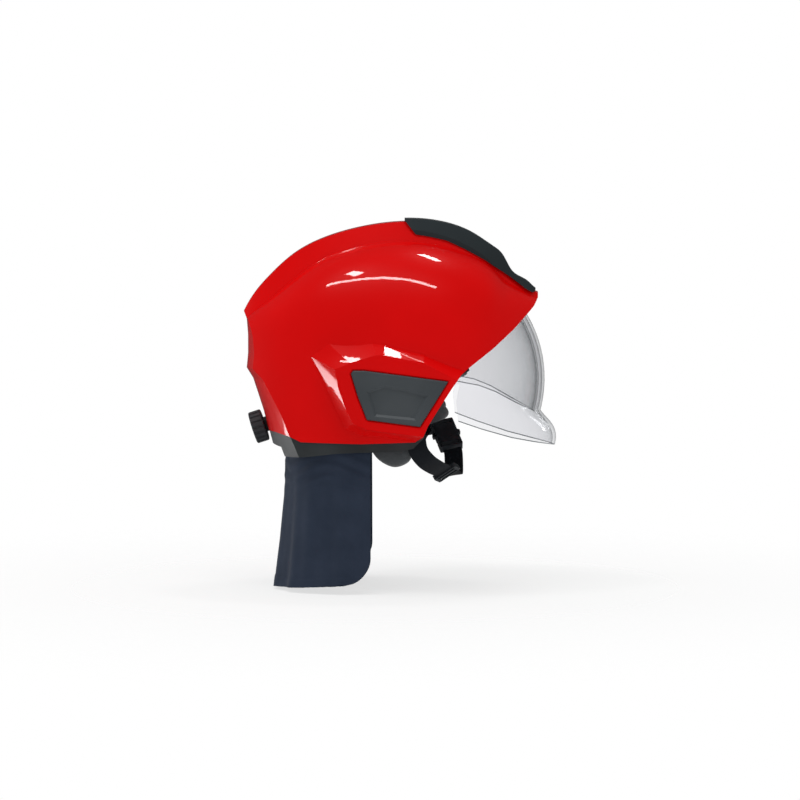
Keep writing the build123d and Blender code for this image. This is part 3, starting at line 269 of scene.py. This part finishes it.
finishes = {
    "shell_red": paintedShell("lacquered_red_shell", ("#D90000", "#E20001"), 0.35, 0.80),
    "crest_grey": paintedShell("lacquered_grey_cover", ("#2A3032", "#30373A"), 0.40, 0.35),
    "plate_grey": mouldedPlastic("moulded_grey_plate", ("#43494D", "#494F53"), 0.42, 0.0012, 0.00003),
    "trim_black": mouldedPlastic("moulded_rubber_trim", ("#2B2F31", "#33383A"), 0.55, 0.0010, 0.00003),
    "shield_clear": clearShield(
        "clear_polycarbonate_shield", {"face": "#FAFAFB", "edge": "#EBECED", "rim": "#969A9D"}, "MAXIMUM",
        ((-0.364, 0.05518), (-0.31, 0.04917), (-0.223, 0.03665)),
    ),
    "lens_clear": clearShield(
        "clear_polycarbonate_lens", {"face": "#FBFBFB", "edge": "#F3F4F4", "rim": "#989CA0"}, "MINIMUM",
        ((-0.196, 0.08174), (-0.389, 0.10267), (-0.55, 0.12302)),
    ),
    "screw_steel": platedSteel("zinc_plated_steel", "#B4B6B8"),
    "washer_black": mouldedPlastic("friction_rubber", ("#151617", "#1C1D1E"), 0.7, 0.0008, 0.00002),
    "liner_foam": beadFoam("bead_foam", ("#1A1B1C", "#2A2C2E")),
    "band_black": mouldedPlastic("moulded_nylon_band", ("#1C1E20", "#232628"), 0.48, 0.0010, 0.00002),
    "knob_black": mouldedPlastic("moulded_nylon_knob", ("#303438", "#3A3E42"), 0.55, 0.0009, 0.00003),
    "buckle_black": mouldedPlastic("moulded_acetal_buckle", ("#262A2F", "#2F3439"), 0.40, 0.0010, 0.00002),
    "pad_grey": knittedPad("brushed_knit_pad", ("#3A3D40", "#45494C"), 0.00025),
    "webbing_black": wovenCloth("woven_polyester_webbing", ("#14171C", "#1F2228"), 0.0010, 0.00018, 0.75, 0.04),
    "curtain_navy": wovenCloth("woven_aramid_curtain", ("#27303F", "#363F50"), 0.0006, 0.00008, sheen=0.06),
}
slotOf = {part["node"]: part["material_slot"] for part in frame["record"]["subparts"]}
for nodeName, nodeObject in frame["nodes"].items():
    nodeObject.data.materials.clear()
    nodeObject.data.materials.append(finishes[slotOf[nodeName]])
print("materials ready:", len(finishes))


def gridMesh(name, points, uv, closedV=False, capU=False):
    # points is an array of rows of places; neighbours make four-cornered faces, the last column
    # joins the first where closed, and capU closes each end row with one face
    rows, columns = points.shape[:2]
    index = np.arange(rows * columns).reshape(rows, columns)
    ends = [index[0].tolist(), index[-1][::-1].tolist()] if capU else []
    if closedV:
        index = np.hstack([index, index[:, :1]])
    faces = np.stack([index[:-1, :-1], index[1:, :-1], index[1:, 1:], index[:-1, 1:]], axis=-1)
    mesh = bpy.data.meshes.new(name)
    mesh.from_pydata(points.reshape(-1, 3).tolist(), [], faces.reshape(-1, 4).tolist() + ends)
    layer = mesh.uv_layers.new(name="UVMap")
    corners = np.empty(len(mesh.loops), dtype=np.int64)
    mesh.loops.foreach_get("vertex_index", corners)
    layer.data.foreach_set("uv", uv.reshape(-1, 2)[corners].ravel())
    mesh.shade_smooth()
    return mesh


def tubeMesh(name, points, uv):
    # a grid closed round and at both ends, with its faces turned outwards
    mesh = gridMesh(name, points, uv, closedV=True, capU=True)
    work = bmesh.new()
    work.from_mesh(mesh)
    bmesh.ops.recalc_face_normals(work, faces=work.faces)
    work.to_mesh(mesh)
    work.free()
    return mesh


def addPiece(mesh, slot, instead):
    # links a mesh as a piece that rides on the helmet and stands for a CAD node
    piece = bpy.data.objects.new(mesh.name, mesh)
    scene.collection.objects.link(piece)
    mesh.materials.append(finishes[slot])
    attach(piece, "helmet")
    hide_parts(instead)
    return piece


def signedPower(values, power):
    # a power of the size of each value, with the value's own sign
    return np.sign(values) * np.abs(values) ** power


def lengthsAlong(places):
    # the length of a path from its start to each of its places
    return np.concatenate([[0], np.cumsum(np.linalg.norm(np.diff(places, axis=0), axis=1))])


def curveThrough(starts, ends, leaving, arriving, steps):
    # cubic pieces from start to end with the slopes given there, in equal steps of their share
    t = np.linspace(0, 1, steps, endpoint=False)[:, None, None]
    pieces = (
        (2 * t**3 - 3 * t**2 + 1) * starts + (t**3 - 2 * t**2 + t) * leaving
        + (3 * t**2 - 2 * t**3) * ends + (t**3 - t**2) * arriving
    )
    return pieces.transpose(1, 0, 2).reshape(-1, starts.shape[1])


def spacedEvenly(curve, count, endpoint):
    # places at even lengths along a curve, and the curve's length; past three columns a place
    # carries values that go along with it
    lengths = lengthsAlong(curve[:, :3])
    even = np.linspace(0, lengths[-1], count, endpoint=endpoint)
    return np.stack([np.interp(even, lengths, column) for column in curve.T], axis=1), lengths[-1]


def smoothPath(places, count):
    # an open path: each slope is half the step from the place before to the place after, and
    # the ends go on straight
    before = np.vstack([2 * places[0] - places[1], places[:-1]])
    after = np.vstack([places[1:], 2 * places[-1] - places[-2]])
    slopes = (after - before) / 2
    curve = curveThrough(places[:-1], places[1:], slopes[:-1], slopes[1:], 24)
    return spacedEvenly(np.vstack([curve, places[-1:]]), count, True)


def ringPoints(outline, count):
    # a closed path through the outline's corners, with slopes as on an open one
    corners = np.asarray(outline, dtype=float)
    following = np.roll(corners, -1, axis=0)
    slopes = (following - np.roll(corners, 1, axis=0)) / 2
    curve = curveThrough(corners, following, slopes, np.roll(slopes, -1, axis=0), 20)
    return spacedEvenly(np.vstack([curve, curve[:1]]), count, False)[0]


# Padded pieces: how their faces crown and their seams stand out, as powers and shares
padForm = {
    "flatness": 0.35, "crown": 0.75, "closing": 0.985, "seamRise": 0.02, "seamWidth": 0.10, "rings": 40,
    "around": 160,
}


def addPad(name, outline, place, instead):
    # a crowned closed form: the outline shrinks with a power of the cosine of an angle that runs
    # from one face to the other, the depth is a power of its sine, and a piped seam stands
    # out where the two faces meet; place turns outline and depth into a position
    closing = padForm["closing"]
    phi = np.linspace(-closing, closing, padForm["rings"])[:, None] * math.pi / 2
    seam = padForm["seamRise"] * np.exp(-(np.sin(phi) / padForm["seamWidth"]) ** 2)
    radial = np.cos(phi) ** padForm["flatness"] + seam
    depth = signedPower(np.sin(phi), padForm["crown"])
    ring = ringPoints(outline, padForm["around"])
    middle = ring.mean(axis=0)
    a = middle[0] + (ring[None, :, 0] - middle[0]) * radial
    b = middle[1] + (ring[None, :, 1] - middle[1]) * radial
    points = place(a, b, np.broadcast_to(depth, a.shape))
    pad = addPiece(tubeMesh(name, points, np.stack([a, b], axis=-1)), "pad_grey", instead)


def roundedBox(halfWidth, halfHeight, corner):
    # corners of a rectangle with rounded ends, four points to a corner
    points = []
    for turn, (sx, sy) in ((0, (1, 1)), (90, (-1, 1)), (180, (-1, -1)), (270, (1, -1))):
        for step in (0, 30, 60, 90):
            angle = math.radians(turn + step)
            points.append((
                sx * (halfWidth - corner) + corner * math.cos(angle),
                sy * (halfHeight - corner) + corner * math.sin(angle),
            ))
    return points


# Cheek pads: side outline in millimetres, wearer's ear to chin
cheekPad = {
    "outline": (
        (-6.9, 19.0), (6.9, 21.6), (20.8, 23.2), (38.1, 24.9), (48.0, 32.0), (58.8, 39.0),
        (67.0, 40.8), (73.5, 38.0), (76.6, 33.0), (75.6, 28.5), (71.8, 25.7), (64.0, 24.4),
        (56.2, 22.6), (49.6, 16.6), (45.2, 8.6), (40.8, -5.0), (37.0, -17.0), (28.5, -22.6),
        (19.0, -23.6), (8.0, -18.6), (0.0, -10.5), (-6.0, 2.0),
    ),
    "inner": 79.0, "outer": 94.0, "fullness": 0.98,
    "ripple": 0.25, "rippleAlong": 0.55, "rippleUp": 0.5, "rippleSlant": 0.1, "rippleEnd": 0.97,
}


def cheekPlace(side):
    def place(a, b, depth):
        # depth runs from the face by the cheek to the face by the shell, and both faces ripple
        # by the product of two sines, less towards the seam
        middle = (cheekPad["inner"] + cheekPad["outer"]) / 2
        half = (cheekPad["outer"] - cheekPad["inner"]) / 2
        across = np.sin(b * cheekPad["rippleUp"] + a * cheekPad["rippleSlant"])
        ripple = cheekPad["ripple"] * np.sin(a * cheekPad["rippleAlong"]) * across * np.abs(depth) ** 2
        y = middle + half * depth * cheekPad["fullness"] + ripple * (np.abs(depth) < cheekPad["rippleEnd"])
        return np.stack([a, side * y, b], axis=-1) * mm
    return place


for side, hand in ((-1, "right"), (1, "left")):
    addPad("cheekPad_" + hand, cheekPad["outline"], cheekPlace(side), "cheek_pad_" + hand)

# Headband: an ellipse in a tilted plane, in degrees and millimetres
headband = {"tilt": 18.0, "height": 54.0, "length": 102.0, "width": 79.0, "wall": 1.8}
bandTilt = math.radians(headband["tilt"])
alongBand = np.array([math.cos(bandTilt), 0, math.sin(bandTilt)])
acrossBand = np.array([0, 1, 0])
upBand = np.array([-math.sin(bandTilt), 0, math.cos(bandTilt)])
bandMiddle = np.array([0, 0, headband["height"]])

napePad = {"halfWidth": 33.0, "halfHeight": 15.0, "back": 97.18, "thickness": 7.0, "corner": 8.4}


def napePlace(a, b, depth):
    # a runs across the nape, b up from the band's plane, depth forward from the ratchet's cover
    out = napePad["back"] - napePad["thickness"] * (depth + 1) / 2
    return (bandMiddle - out[..., None] * alongBand + a[..., None] * acrossBand + b[..., None] * upBand) * mm


napeOutline = roundedBox(napePad["halfWidth"], napePad["halfHeight"], napePad["corner"])
addPad("napePad", napeOutline, napePlace, "nape_pad")

browPad = {
    "angle": 57.0, "gap": 0.3, "thickness": 5.0, "halfHeight": 15.9, "channel": 17.0, "channelWidth": 1.6,
    "pinch": 0.30, "endPower": 14, "endLeast": 0.02, "along": 240, "around": 48, "thickPower": 0.7,
    "highPower": 0.55,
}


def browMesh():
    # a section of superellipse form swept round the band's inner ellipse; sewn channels across
    # the pad pinch its thickness, and the section closes up at both ends
    share = np.linspace(-1, 1, browPad["along"])[:, None]
    turn = share * math.radians(browPad["angle"])
    around = np.linspace(0, 2 * math.pi, browPad["around"], endpoint=False)[None, :]
    a, b = headband["length"] - headband["wall"], headband["width"] - headband["wall"]
    least = browPad["endLeast"]
    ends = (1 - np.abs(share) ** browPad["endPower"]) ** 0.5 * (1 - least) + least
    arc = turn * a
    channel = browPad["channel"]
    fromSeam = np.mod(arc + channel / 2, channel) - channel / 2
    pinch = 1 - browPad["pinch"] * np.exp(-(fromSeam / browPad["channelWidth"]) ** 2)
    half = browPad["thickness"] / 2
    thick = signedPower(np.cos(around), browPad["thickPower"]) * half * ends
    thick = np.where(np.cos(around) > 0, thick * pinch, thick)
    high = signedPower(np.sin(around), browPad["highPower"]) * browPad["halfHeight"] * ends
    inward = browPad["gap"] + half + thick
    x = (a - inward) * np.cos(turn)
    y = (b - inward) * np.sin(turn)
    points = bandMiddle + x[..., None] * alongBand + y[..., None] * acrossBand + high[..., None] * upBand
    uv = np.stack([np.broadcast_to(arc, x.shape), high], axis=-1) * mm
    return tubeMesh("browPad", points * mm, uv)


brow = addPiece(browMesh(), "pad_grey", "brow_pad")

# Cradle: two straps on egg-shaped arcs, and the crown pad under them, in millimetres
cradle = {
    "middle": 60.0, "length": 101.3, "half": 80.8, "height": 106.8, "width": 20.0, "wall": 1.2, "drop": 2.4,
    "along": 120,
}


def ribbonSection(width, wall):
    # flat section with rounded edges: a superellipse of a high power
    angle = np.linspace(0, 2 * math.pi, 28, endpoint=False)
    wide = signedPower(np.cos(angle), 0.25) * width / 2
    return np.stack([wide, signedPower(np.sin(angle), 0.6) * wall / 2], axis=-1)


def eggStrap(name, across, drop, foot, long):
    # a flat section swept over the arc of an ellipse from foot to foot
    reach, height = across - drop - cradle["wall"] / 2, cradle["height"] - drop - cradle["wall"] / 2
    start = math.asin(foot / height)
    turn = np.linspace(start, math.pi - start, cradle["along"])[:, None]
    section = ribbonSection(cradle["width"], cradle["wall"])
    flat, thick = section[None, :, 0], section[None, :, 1]
    run, rise = np.cos(turn), np.sin(turn)
    normal = np.stack([run / reach, rise / height], axis=-1)
    normal /= np.linalg.norm(normal, axis=-1, keepdims=True)
    u = reach * run + normal[..., 0] * thick
    z = cradle["middle"] + height * rise + normal[..., 1] * thick
    flat = flat + 0 * u
    points = np.stack([u, flat, z] if long else [flat, u, z], axis=-1) * mm
    arc = lengthsAlong(np.hstack([reach * run, height * rise]))
    uv = np.stack([flat, arc[:, None] + 0 * flat], axis=-1) * mm
    return tubeMesh(name, points, uv)


for mesh, node in (
    (eggStrap("crownStrapCross", cradle["half"], 0, 9.0, False), "crown_strap_cross"),
    (eggStrap("crownStrapLong", cradle["length"], cradle["drop"], 40.5, True), "crown_strap_long"),
):
    addPiece(mesh, "webbing_black", node)

crownPad = {"halfLength": 42.0, "halfWidth": 30.0, "corner": 16.8, "gap": 0.3, "thickness": 7.0}


def crownPlace(a, b, depth):
    # between two egg-shaped surfaces, depth 1 on the upper one
    drop = cradle["drop"] + cradle["wall"] + crownPad["gap"] + crownPad["thickness"] * (1 - depth) / 2
    arc = 1 - (a / (cradle["length"] - drop)) ** 2 - (b / (cradle["half"] - drop)) ** 2
    z = cradle["middle"] + (cradle["height"] - drop) * np.sqrt(arc)
    return np.stack([a, b, z], axis=-1) * mm


crownOutline = roundedBox(crownPad["halfLength"], crownPad["halfWidth"], crownPad["corner"])
addPad("crownPad", crownOutline, crownPlace, "crown_pad")
print("pads and cradle ready")

# Chin strap: 20 mm webbing; each row is a place in millimetres and the way its width lies,
# as shares along the length and the height of the helmet
webbing = {"width": 20.0, "wall": 1.6, "along": 90}
strapRoutes = {
    "right": (
        (40, -115.3, 34, 1, 0.1), (42, -110.1, 16, 1, 0.1), (43.3, -100.8, 7, 1, 0.1),
        (46, -98, -7, 0.97, 0.25), (54, -90, -18, 0.88, 0.47), (64, -70, -26, 0.85, 0.5),
        (72, -47.9, -31, 0.85, 0.5), (80, -26, -36, 0.85, 0.5),
    ),
    "loop": (
        (80.2, -23.6, -36.1, 0.85, 0.5), (84, 0, -38, 1, 0.1), (84.8, 16, -30, 1, 0.1),
        (84.5, 27, -17.5, 0.96, 0.18), (83.3, 30.6, -12.5, 0.96, 0.18),
    ),
    "left": (
        (40, 115.3, 34, 1, 0.1), (41.8, 110.1, 16, 1, 0.1), (48.3, 100.5, 6.8, 0.98, 0.1),
        (61, 98.9, 1.5, 0.96, 0.18), (67.2, 82, 1.9, 0.96, 0.18), (71.2, 71, 7.5, 0.96, 0.18),
        (71.9, 66, 14, 0.96, 0.18),
    ),
}


def strapMesh(name, route):
    # a flat section swept along a smooth path; its width keeps to the way given at each place
    path, length = smoothPath(np.array(route, dtype=float), webbing["along"])
    centre = path[:, :3]
    along = np.gradient(centre, axis=0)
    along /= np.linalg.norm(along, axis=1, keepdims=True)
    wide = np.stack([path[:, 3], np.zeros(len(path)), path[:, 4]], axis=1)
    wide -= (wide * along).sum(axis=1, keepdims=True) * along
    wide /= np.linalg.norm(wide, axis=1, keepdims=True)
    thick = np.cross(along, wide)
    section = ribbonSection(webbing["width"], webbing["wall"])
    points = centre[:, None] + wide[:, None] * section[None, :, :1] + thick[:, None] * section[None, :, 1:]
    arc = np.linspace(0, length, len(path))[:, None] + 0 * section[None, :, 0]
    uv = np.stack([section[None, :, 0] + 0 * arc, arc], axis=-1) * mm
    return tubeMesh(name, points * mm, uv)


for part, route in strapRoutes.items():
    addPiece(strapMesh("chinStrap_" + part, route), "webbing_black", "chin_strap_" + part)
print("chin strap ready")

# Neck curtain: plan of a superellipse about its side ends, in millimetres; what changes on the
# way down is given at shares of the drop, and a wave is its strength, turns, offset and drift
curtain = {
    "sideX": -4.0, "length": 90.6, "halfWidth": 97.4, "roundness": 2.6, "top": 3.0,
    "frontDrop": -145.0, "rearDrop": -155.0, "lowPower": 1.5, "corner": 26.0, "wall": 1.6,
    "reach": ((0, 0.14, 0.40, 0.70, 1.0), (1.0, 1.0, 1.01, 1.06, 1.13)),
    "folds": 7, "foldDepth": 2.24, "foldShare": 0.75, "foldDrift": (0.5, 3),
    "foldGrowth": ((0, 0.15, 0.4, 1.0), (0, 0.1, 0.6, 1.0)),
    "waves": ((0.35, 31, 1.3, 1.5), (0.2, 53, 0.4, 0)),
    "creases": 0.9, "creaseAt": 0.20, "creaseSpread": 0.10, "creaseTurns": 0.42, "creaseRun": (150, 9, 9),
    "hem": 9.0, "hemStep": 1.2, "hemThickness": 0.6,
    "planPoints": 1600, "rows": 120, "columns": 381,
}


def curtainPlan(drop):
    # a row's plan, a superellipse that reaches further back downwards, and the length along it
    turn = np.linspace(-math.pi / 2, math.pi / 2, curtain["planPoints"])
    power = 2 / curtain["roundness"]
    reach = curtain["length"] * np.interp(drop, *curtain["reach"])
    x = curtain["sideX"] - reach * np.abs(np.cos(turn)) ** power
    y = curtain["halfWidth"] * signedPower(np.sin(turn), power)
    return x, y, lengthsAlong(np.stack([x, y], axis=1))


def curtainPush(where, drop):
    # how far the cloth stands out: folds in waves that grow downwards, creases under the sewn
    # top in a band that dies away like a bell curve, and the doubled cloth of the hem
    bend, pace = curtain["foldDrift"]
    wave = np.sin(where * math.pi * curtain["folds"] + bend * np.sin(drop * pace)) * curtain["foldShare"]
    for strength, turns, offset, drift in curtain["waves"]:
        wave += strength * np.sin(where * turns + offset + drop * drift)
    down, swing, count = curtain["creaseRun"]
    crease = np.sin((drop * down + swing * np.cos(where * count)) * curtain["creaseTurns"])
    crease *= curtain["creases"] * np.exp(-((drop - curtain["creaseAt"]) / curtain["creaseSpread"]) ** 2)
    fall = curtain["top"] - curtain["rearDrop"]
    hemmed = np.clip((fall * (drop - 1) + curtain["hem"]) / curtain["hemStep"], 0, 1)
    growth = np.interp(drop, *curtain["foldGrowth"])
    return curtain["foldDepth"] * growth * wave + crease + curtain["hemThickness"] * hemmed


def curtainPoints(arcShare, dropShare):
    # a point stands at a share of its row's length from the nape and is pushed in or out square
    # to the plan; the rear hangs lower than the front, and the front lower corners are
    # rounded by shortening the lowest rows along a quarter circle
    places = np.empty((len(dropShare), len(arcShare), 3))
    radius = curtain["corner"]
    for row, drop in enumerate(dropShare):
        x, y, lengths = curtainPlan(drop)
        half = lengths[-1] / 2
        above = min((curtain["top"] - curtain["frontDrop"]) * (1 - drop), radius)
        inset = radius - math.sqrt(radius**2 - (radius - above) ** 2)
        at = half + arcShare * (half - inset)
        px, py = np.interp(at, lengths, x), np.interp(at, lengths, y)
        nx, ny = -np.gradient(py, at), np.gradient(px, at)
        size = np.hypot(nx, ny)
        where = (at - half) / half
        push = curtainPush(where, drop) / size
        rear, front = curtain["rearDrop"], curtain["frontDrop"]
        low = rear + (front - rear) * np.abs(where) ** curtain["lowPower"]
        z = curtain["top"] + (low - curtain["top"]) * drop
        places[row] = np.stack([px + nx * push, py + ny * push, z], axis=-1)
    return places


def curtainMesh():
    # a grid of the curtain's surface, with a map of the flat cloth in metres
    drop = np.linspace(0, 1, curtain["rows"])
    share = np.linspace(-1, 1, curtain["columns"])
    points = curtainPoints(share, drop)
    steps = np.linalg.norm(np.diff(points, axis=1), axis=2)
    arc = np.concatenate([np.zeros((len(drop), 1)), np.cumsum(steps, axis=1)], axis=1)
    arc -= arc[:, len(share) // 2][:, None]
    fall = (curtain["top"] - curtain["rearDrop"]) * drop[:, None] + 0 * arc
    return gridMesh("neckCurtain", points * mm, np.stack([arc, fall], axis=-1) * mm)


curtainPiece = addPiece(curtainMesh(), "curtain_navy", "neck_curtain")
cloth = curtainPiece.modifiers.new("cloth", "SOLIDIFY")
cloth.thickness = curtain["wall"] * mm
cloth.offset = 0.0
print("neck curtain ready")

# Lamps in metres and watts: each looks at the helmet
lamps = {
    "overhead strip": {"place": (-0.35, -0.9, 2.3), "size": (2.3, 0.11), "watts": 17},
    "rear roof light": {"place": (-0.69, -0.31, 2.2), "size": (0.30, 0.16), "watts": 4},
    "front roof light": {"place": (0.45, 0.46, 2.2), "size": (0.40, 0.16), "watts": 5},
    "rear window": {"place": (-2.3, 1.2, 0.1), "size": (0.14, 0.90), "watts": 9},
    "far softbox": {"place": (0.0, 2.4, 1.6), "size": (2.0, 1.2), "watts": 6},
}

# World: the light from below and from above, and a dark room with one bright screen whose edge
# is given as cosines of the angle from its middle
studio = {
    "below": 0.78, "above": 0.38, "room": 0.05, "screen": 8.0, "screenWay": (-0.852, 0.463, -0.245),
    "screenOuter": 0.984, "screenInner": 0.990,
}

# Floor: metres, and the share of it that is clear at the helmet
floorForm = {"half": 6.0, "under": 0.005, "fadeFrom": 0.12, "fadeTo": 0.8, "clear": 0.65}


def addLamps():
    # soft rectangular lamps
    for name, lamp in lamps.items():
        data = bpy.data.lights.new(name, "AREA")
        data.shape = "RECTANGLE"
        data.size, data.size_y = lamp["size"]
        data.energy = lamp["watts"]
        light = bpy.data.objects.new(name, data)
        scene.collection.objects.link(light)
        light.location = lamp["place"]
        way = Vector(camera["target"]) - Vector(lamp["place"])
        light.rotation_euler = way.to_track_quat("-Z", "Y").to_euler()


def addWorld():
    # soft light all round, stronger from below, plain white to the camera and through the
    # shields, and a dark room to mirrors, so that gloss shows the lamps and the screen alone
    world = bpy.data.worlds.new("studio")
    world.use_nodes = True
    tree = world.node_tree
    tree.nodes.clear()
    way = addNode(tree, "TexCoord", out="Generated")
    rise = addNode(tree, "SeparateXYZ", sockets={"Vector": way}, out="Z")
    glow = addNode(tree, "MapRange", sockets={
        "Value": rise, "From Min": 0.0, "To Min": studio["below"], "To Max": studio["above"],
    })
    soft = addNode(tree, "Background", sockets={"Color": "#FFFFFF", "Strength": glow})
    away = addNode(tree, "VectorMath", {"operation": "DOT_PRODUCT"}, {0: way, 1: studio["screenWay"]}, "Value")
    screen = addNode(tree, "MapRange", sockets={
        "Value": away, "From Min": studio["screenOuter"], "From Max": studio["screenInner"],
        "To Min": studio["room"], "To Max": studio["screen"],
    })
    room = addNode(tree, "Background", sockets={"Color": "#FFFFFF", "Strength": screen})
    mirrored = addNode(tree, "LightPath", out="Is Glossy Ray")
    around = addNode(tree, "MixShader", sockets={0: mirrored, 1: soft, 2: room})
    plain = addNode(tree, "Background", sockets={"Color": "#FFFFFF", "Strength": 1.0})
    seen = addNode(tree, "LightPath", out="Is Camera Ray")
    through = addNode(tree, "LightPath", out="Is Transmission Ray")
    plainly = addNode(tree, "Math", {"operation": "MAXIMUM"}, {0: seen, 1: through})
    finishTree(tree, "World", addNode(tree, "MixShader", sockets={0: plainly, 1: around, 2: plain}))
    scene.world = world


def addFloor():
    # a pale plain floor just under the curtain's hem, that fades into the white far from the
    # helmet and isn't seen from below
    half, height = floorForm["half"], cadBox[0][2] - floorForm["under"]
    mesh = bpy.data.meshes.new("floor")
    corners = [(-half, -half, height), (half, -half, height), (half, half, height), (-half, half, height)]
    mesh.from_pydata(corners, [], [(0, 1, 2, 3)])
    floor = bpy.data.objects.new("floor", mesh)
    scene.collection.objects.link(floor)
    material, tree, where = newMaterial("pale_floor")
    reach = addNode(tree, "VectorMath", {"operation": "LENGTH"}, {0: where}, "Value")
    fade = addNode(tree, "MapRange", {"interpolation_type": "SMOOTHSTEP"}, {
        "Value": reach, "From Min": floorForm["fadeFrom"], "From Max": floorForm["fadeTo"],
        "To Min": floorForm["clear"],
    })
    unseen = addNode(tree, "Math", {"operation": "MAXIMUM"}, {
        0: fade, 1: addNode(tree, "NewGeometry", out="Backfacing"),
    })
    matt = addNode(tree, "BsdfDiffuse", sockets={"Color": "#FFFFFF"})
    clear = addNode(tree, "BsdfTransparent")
    finishTree(tree, "Material", addNode(tree, "MixShader", sockets={0: unseen, 1: matt, 2: clear}))
    mesh.materials.append(material)


addLamps()
addWorld()
addFloor()
print("stage ready")
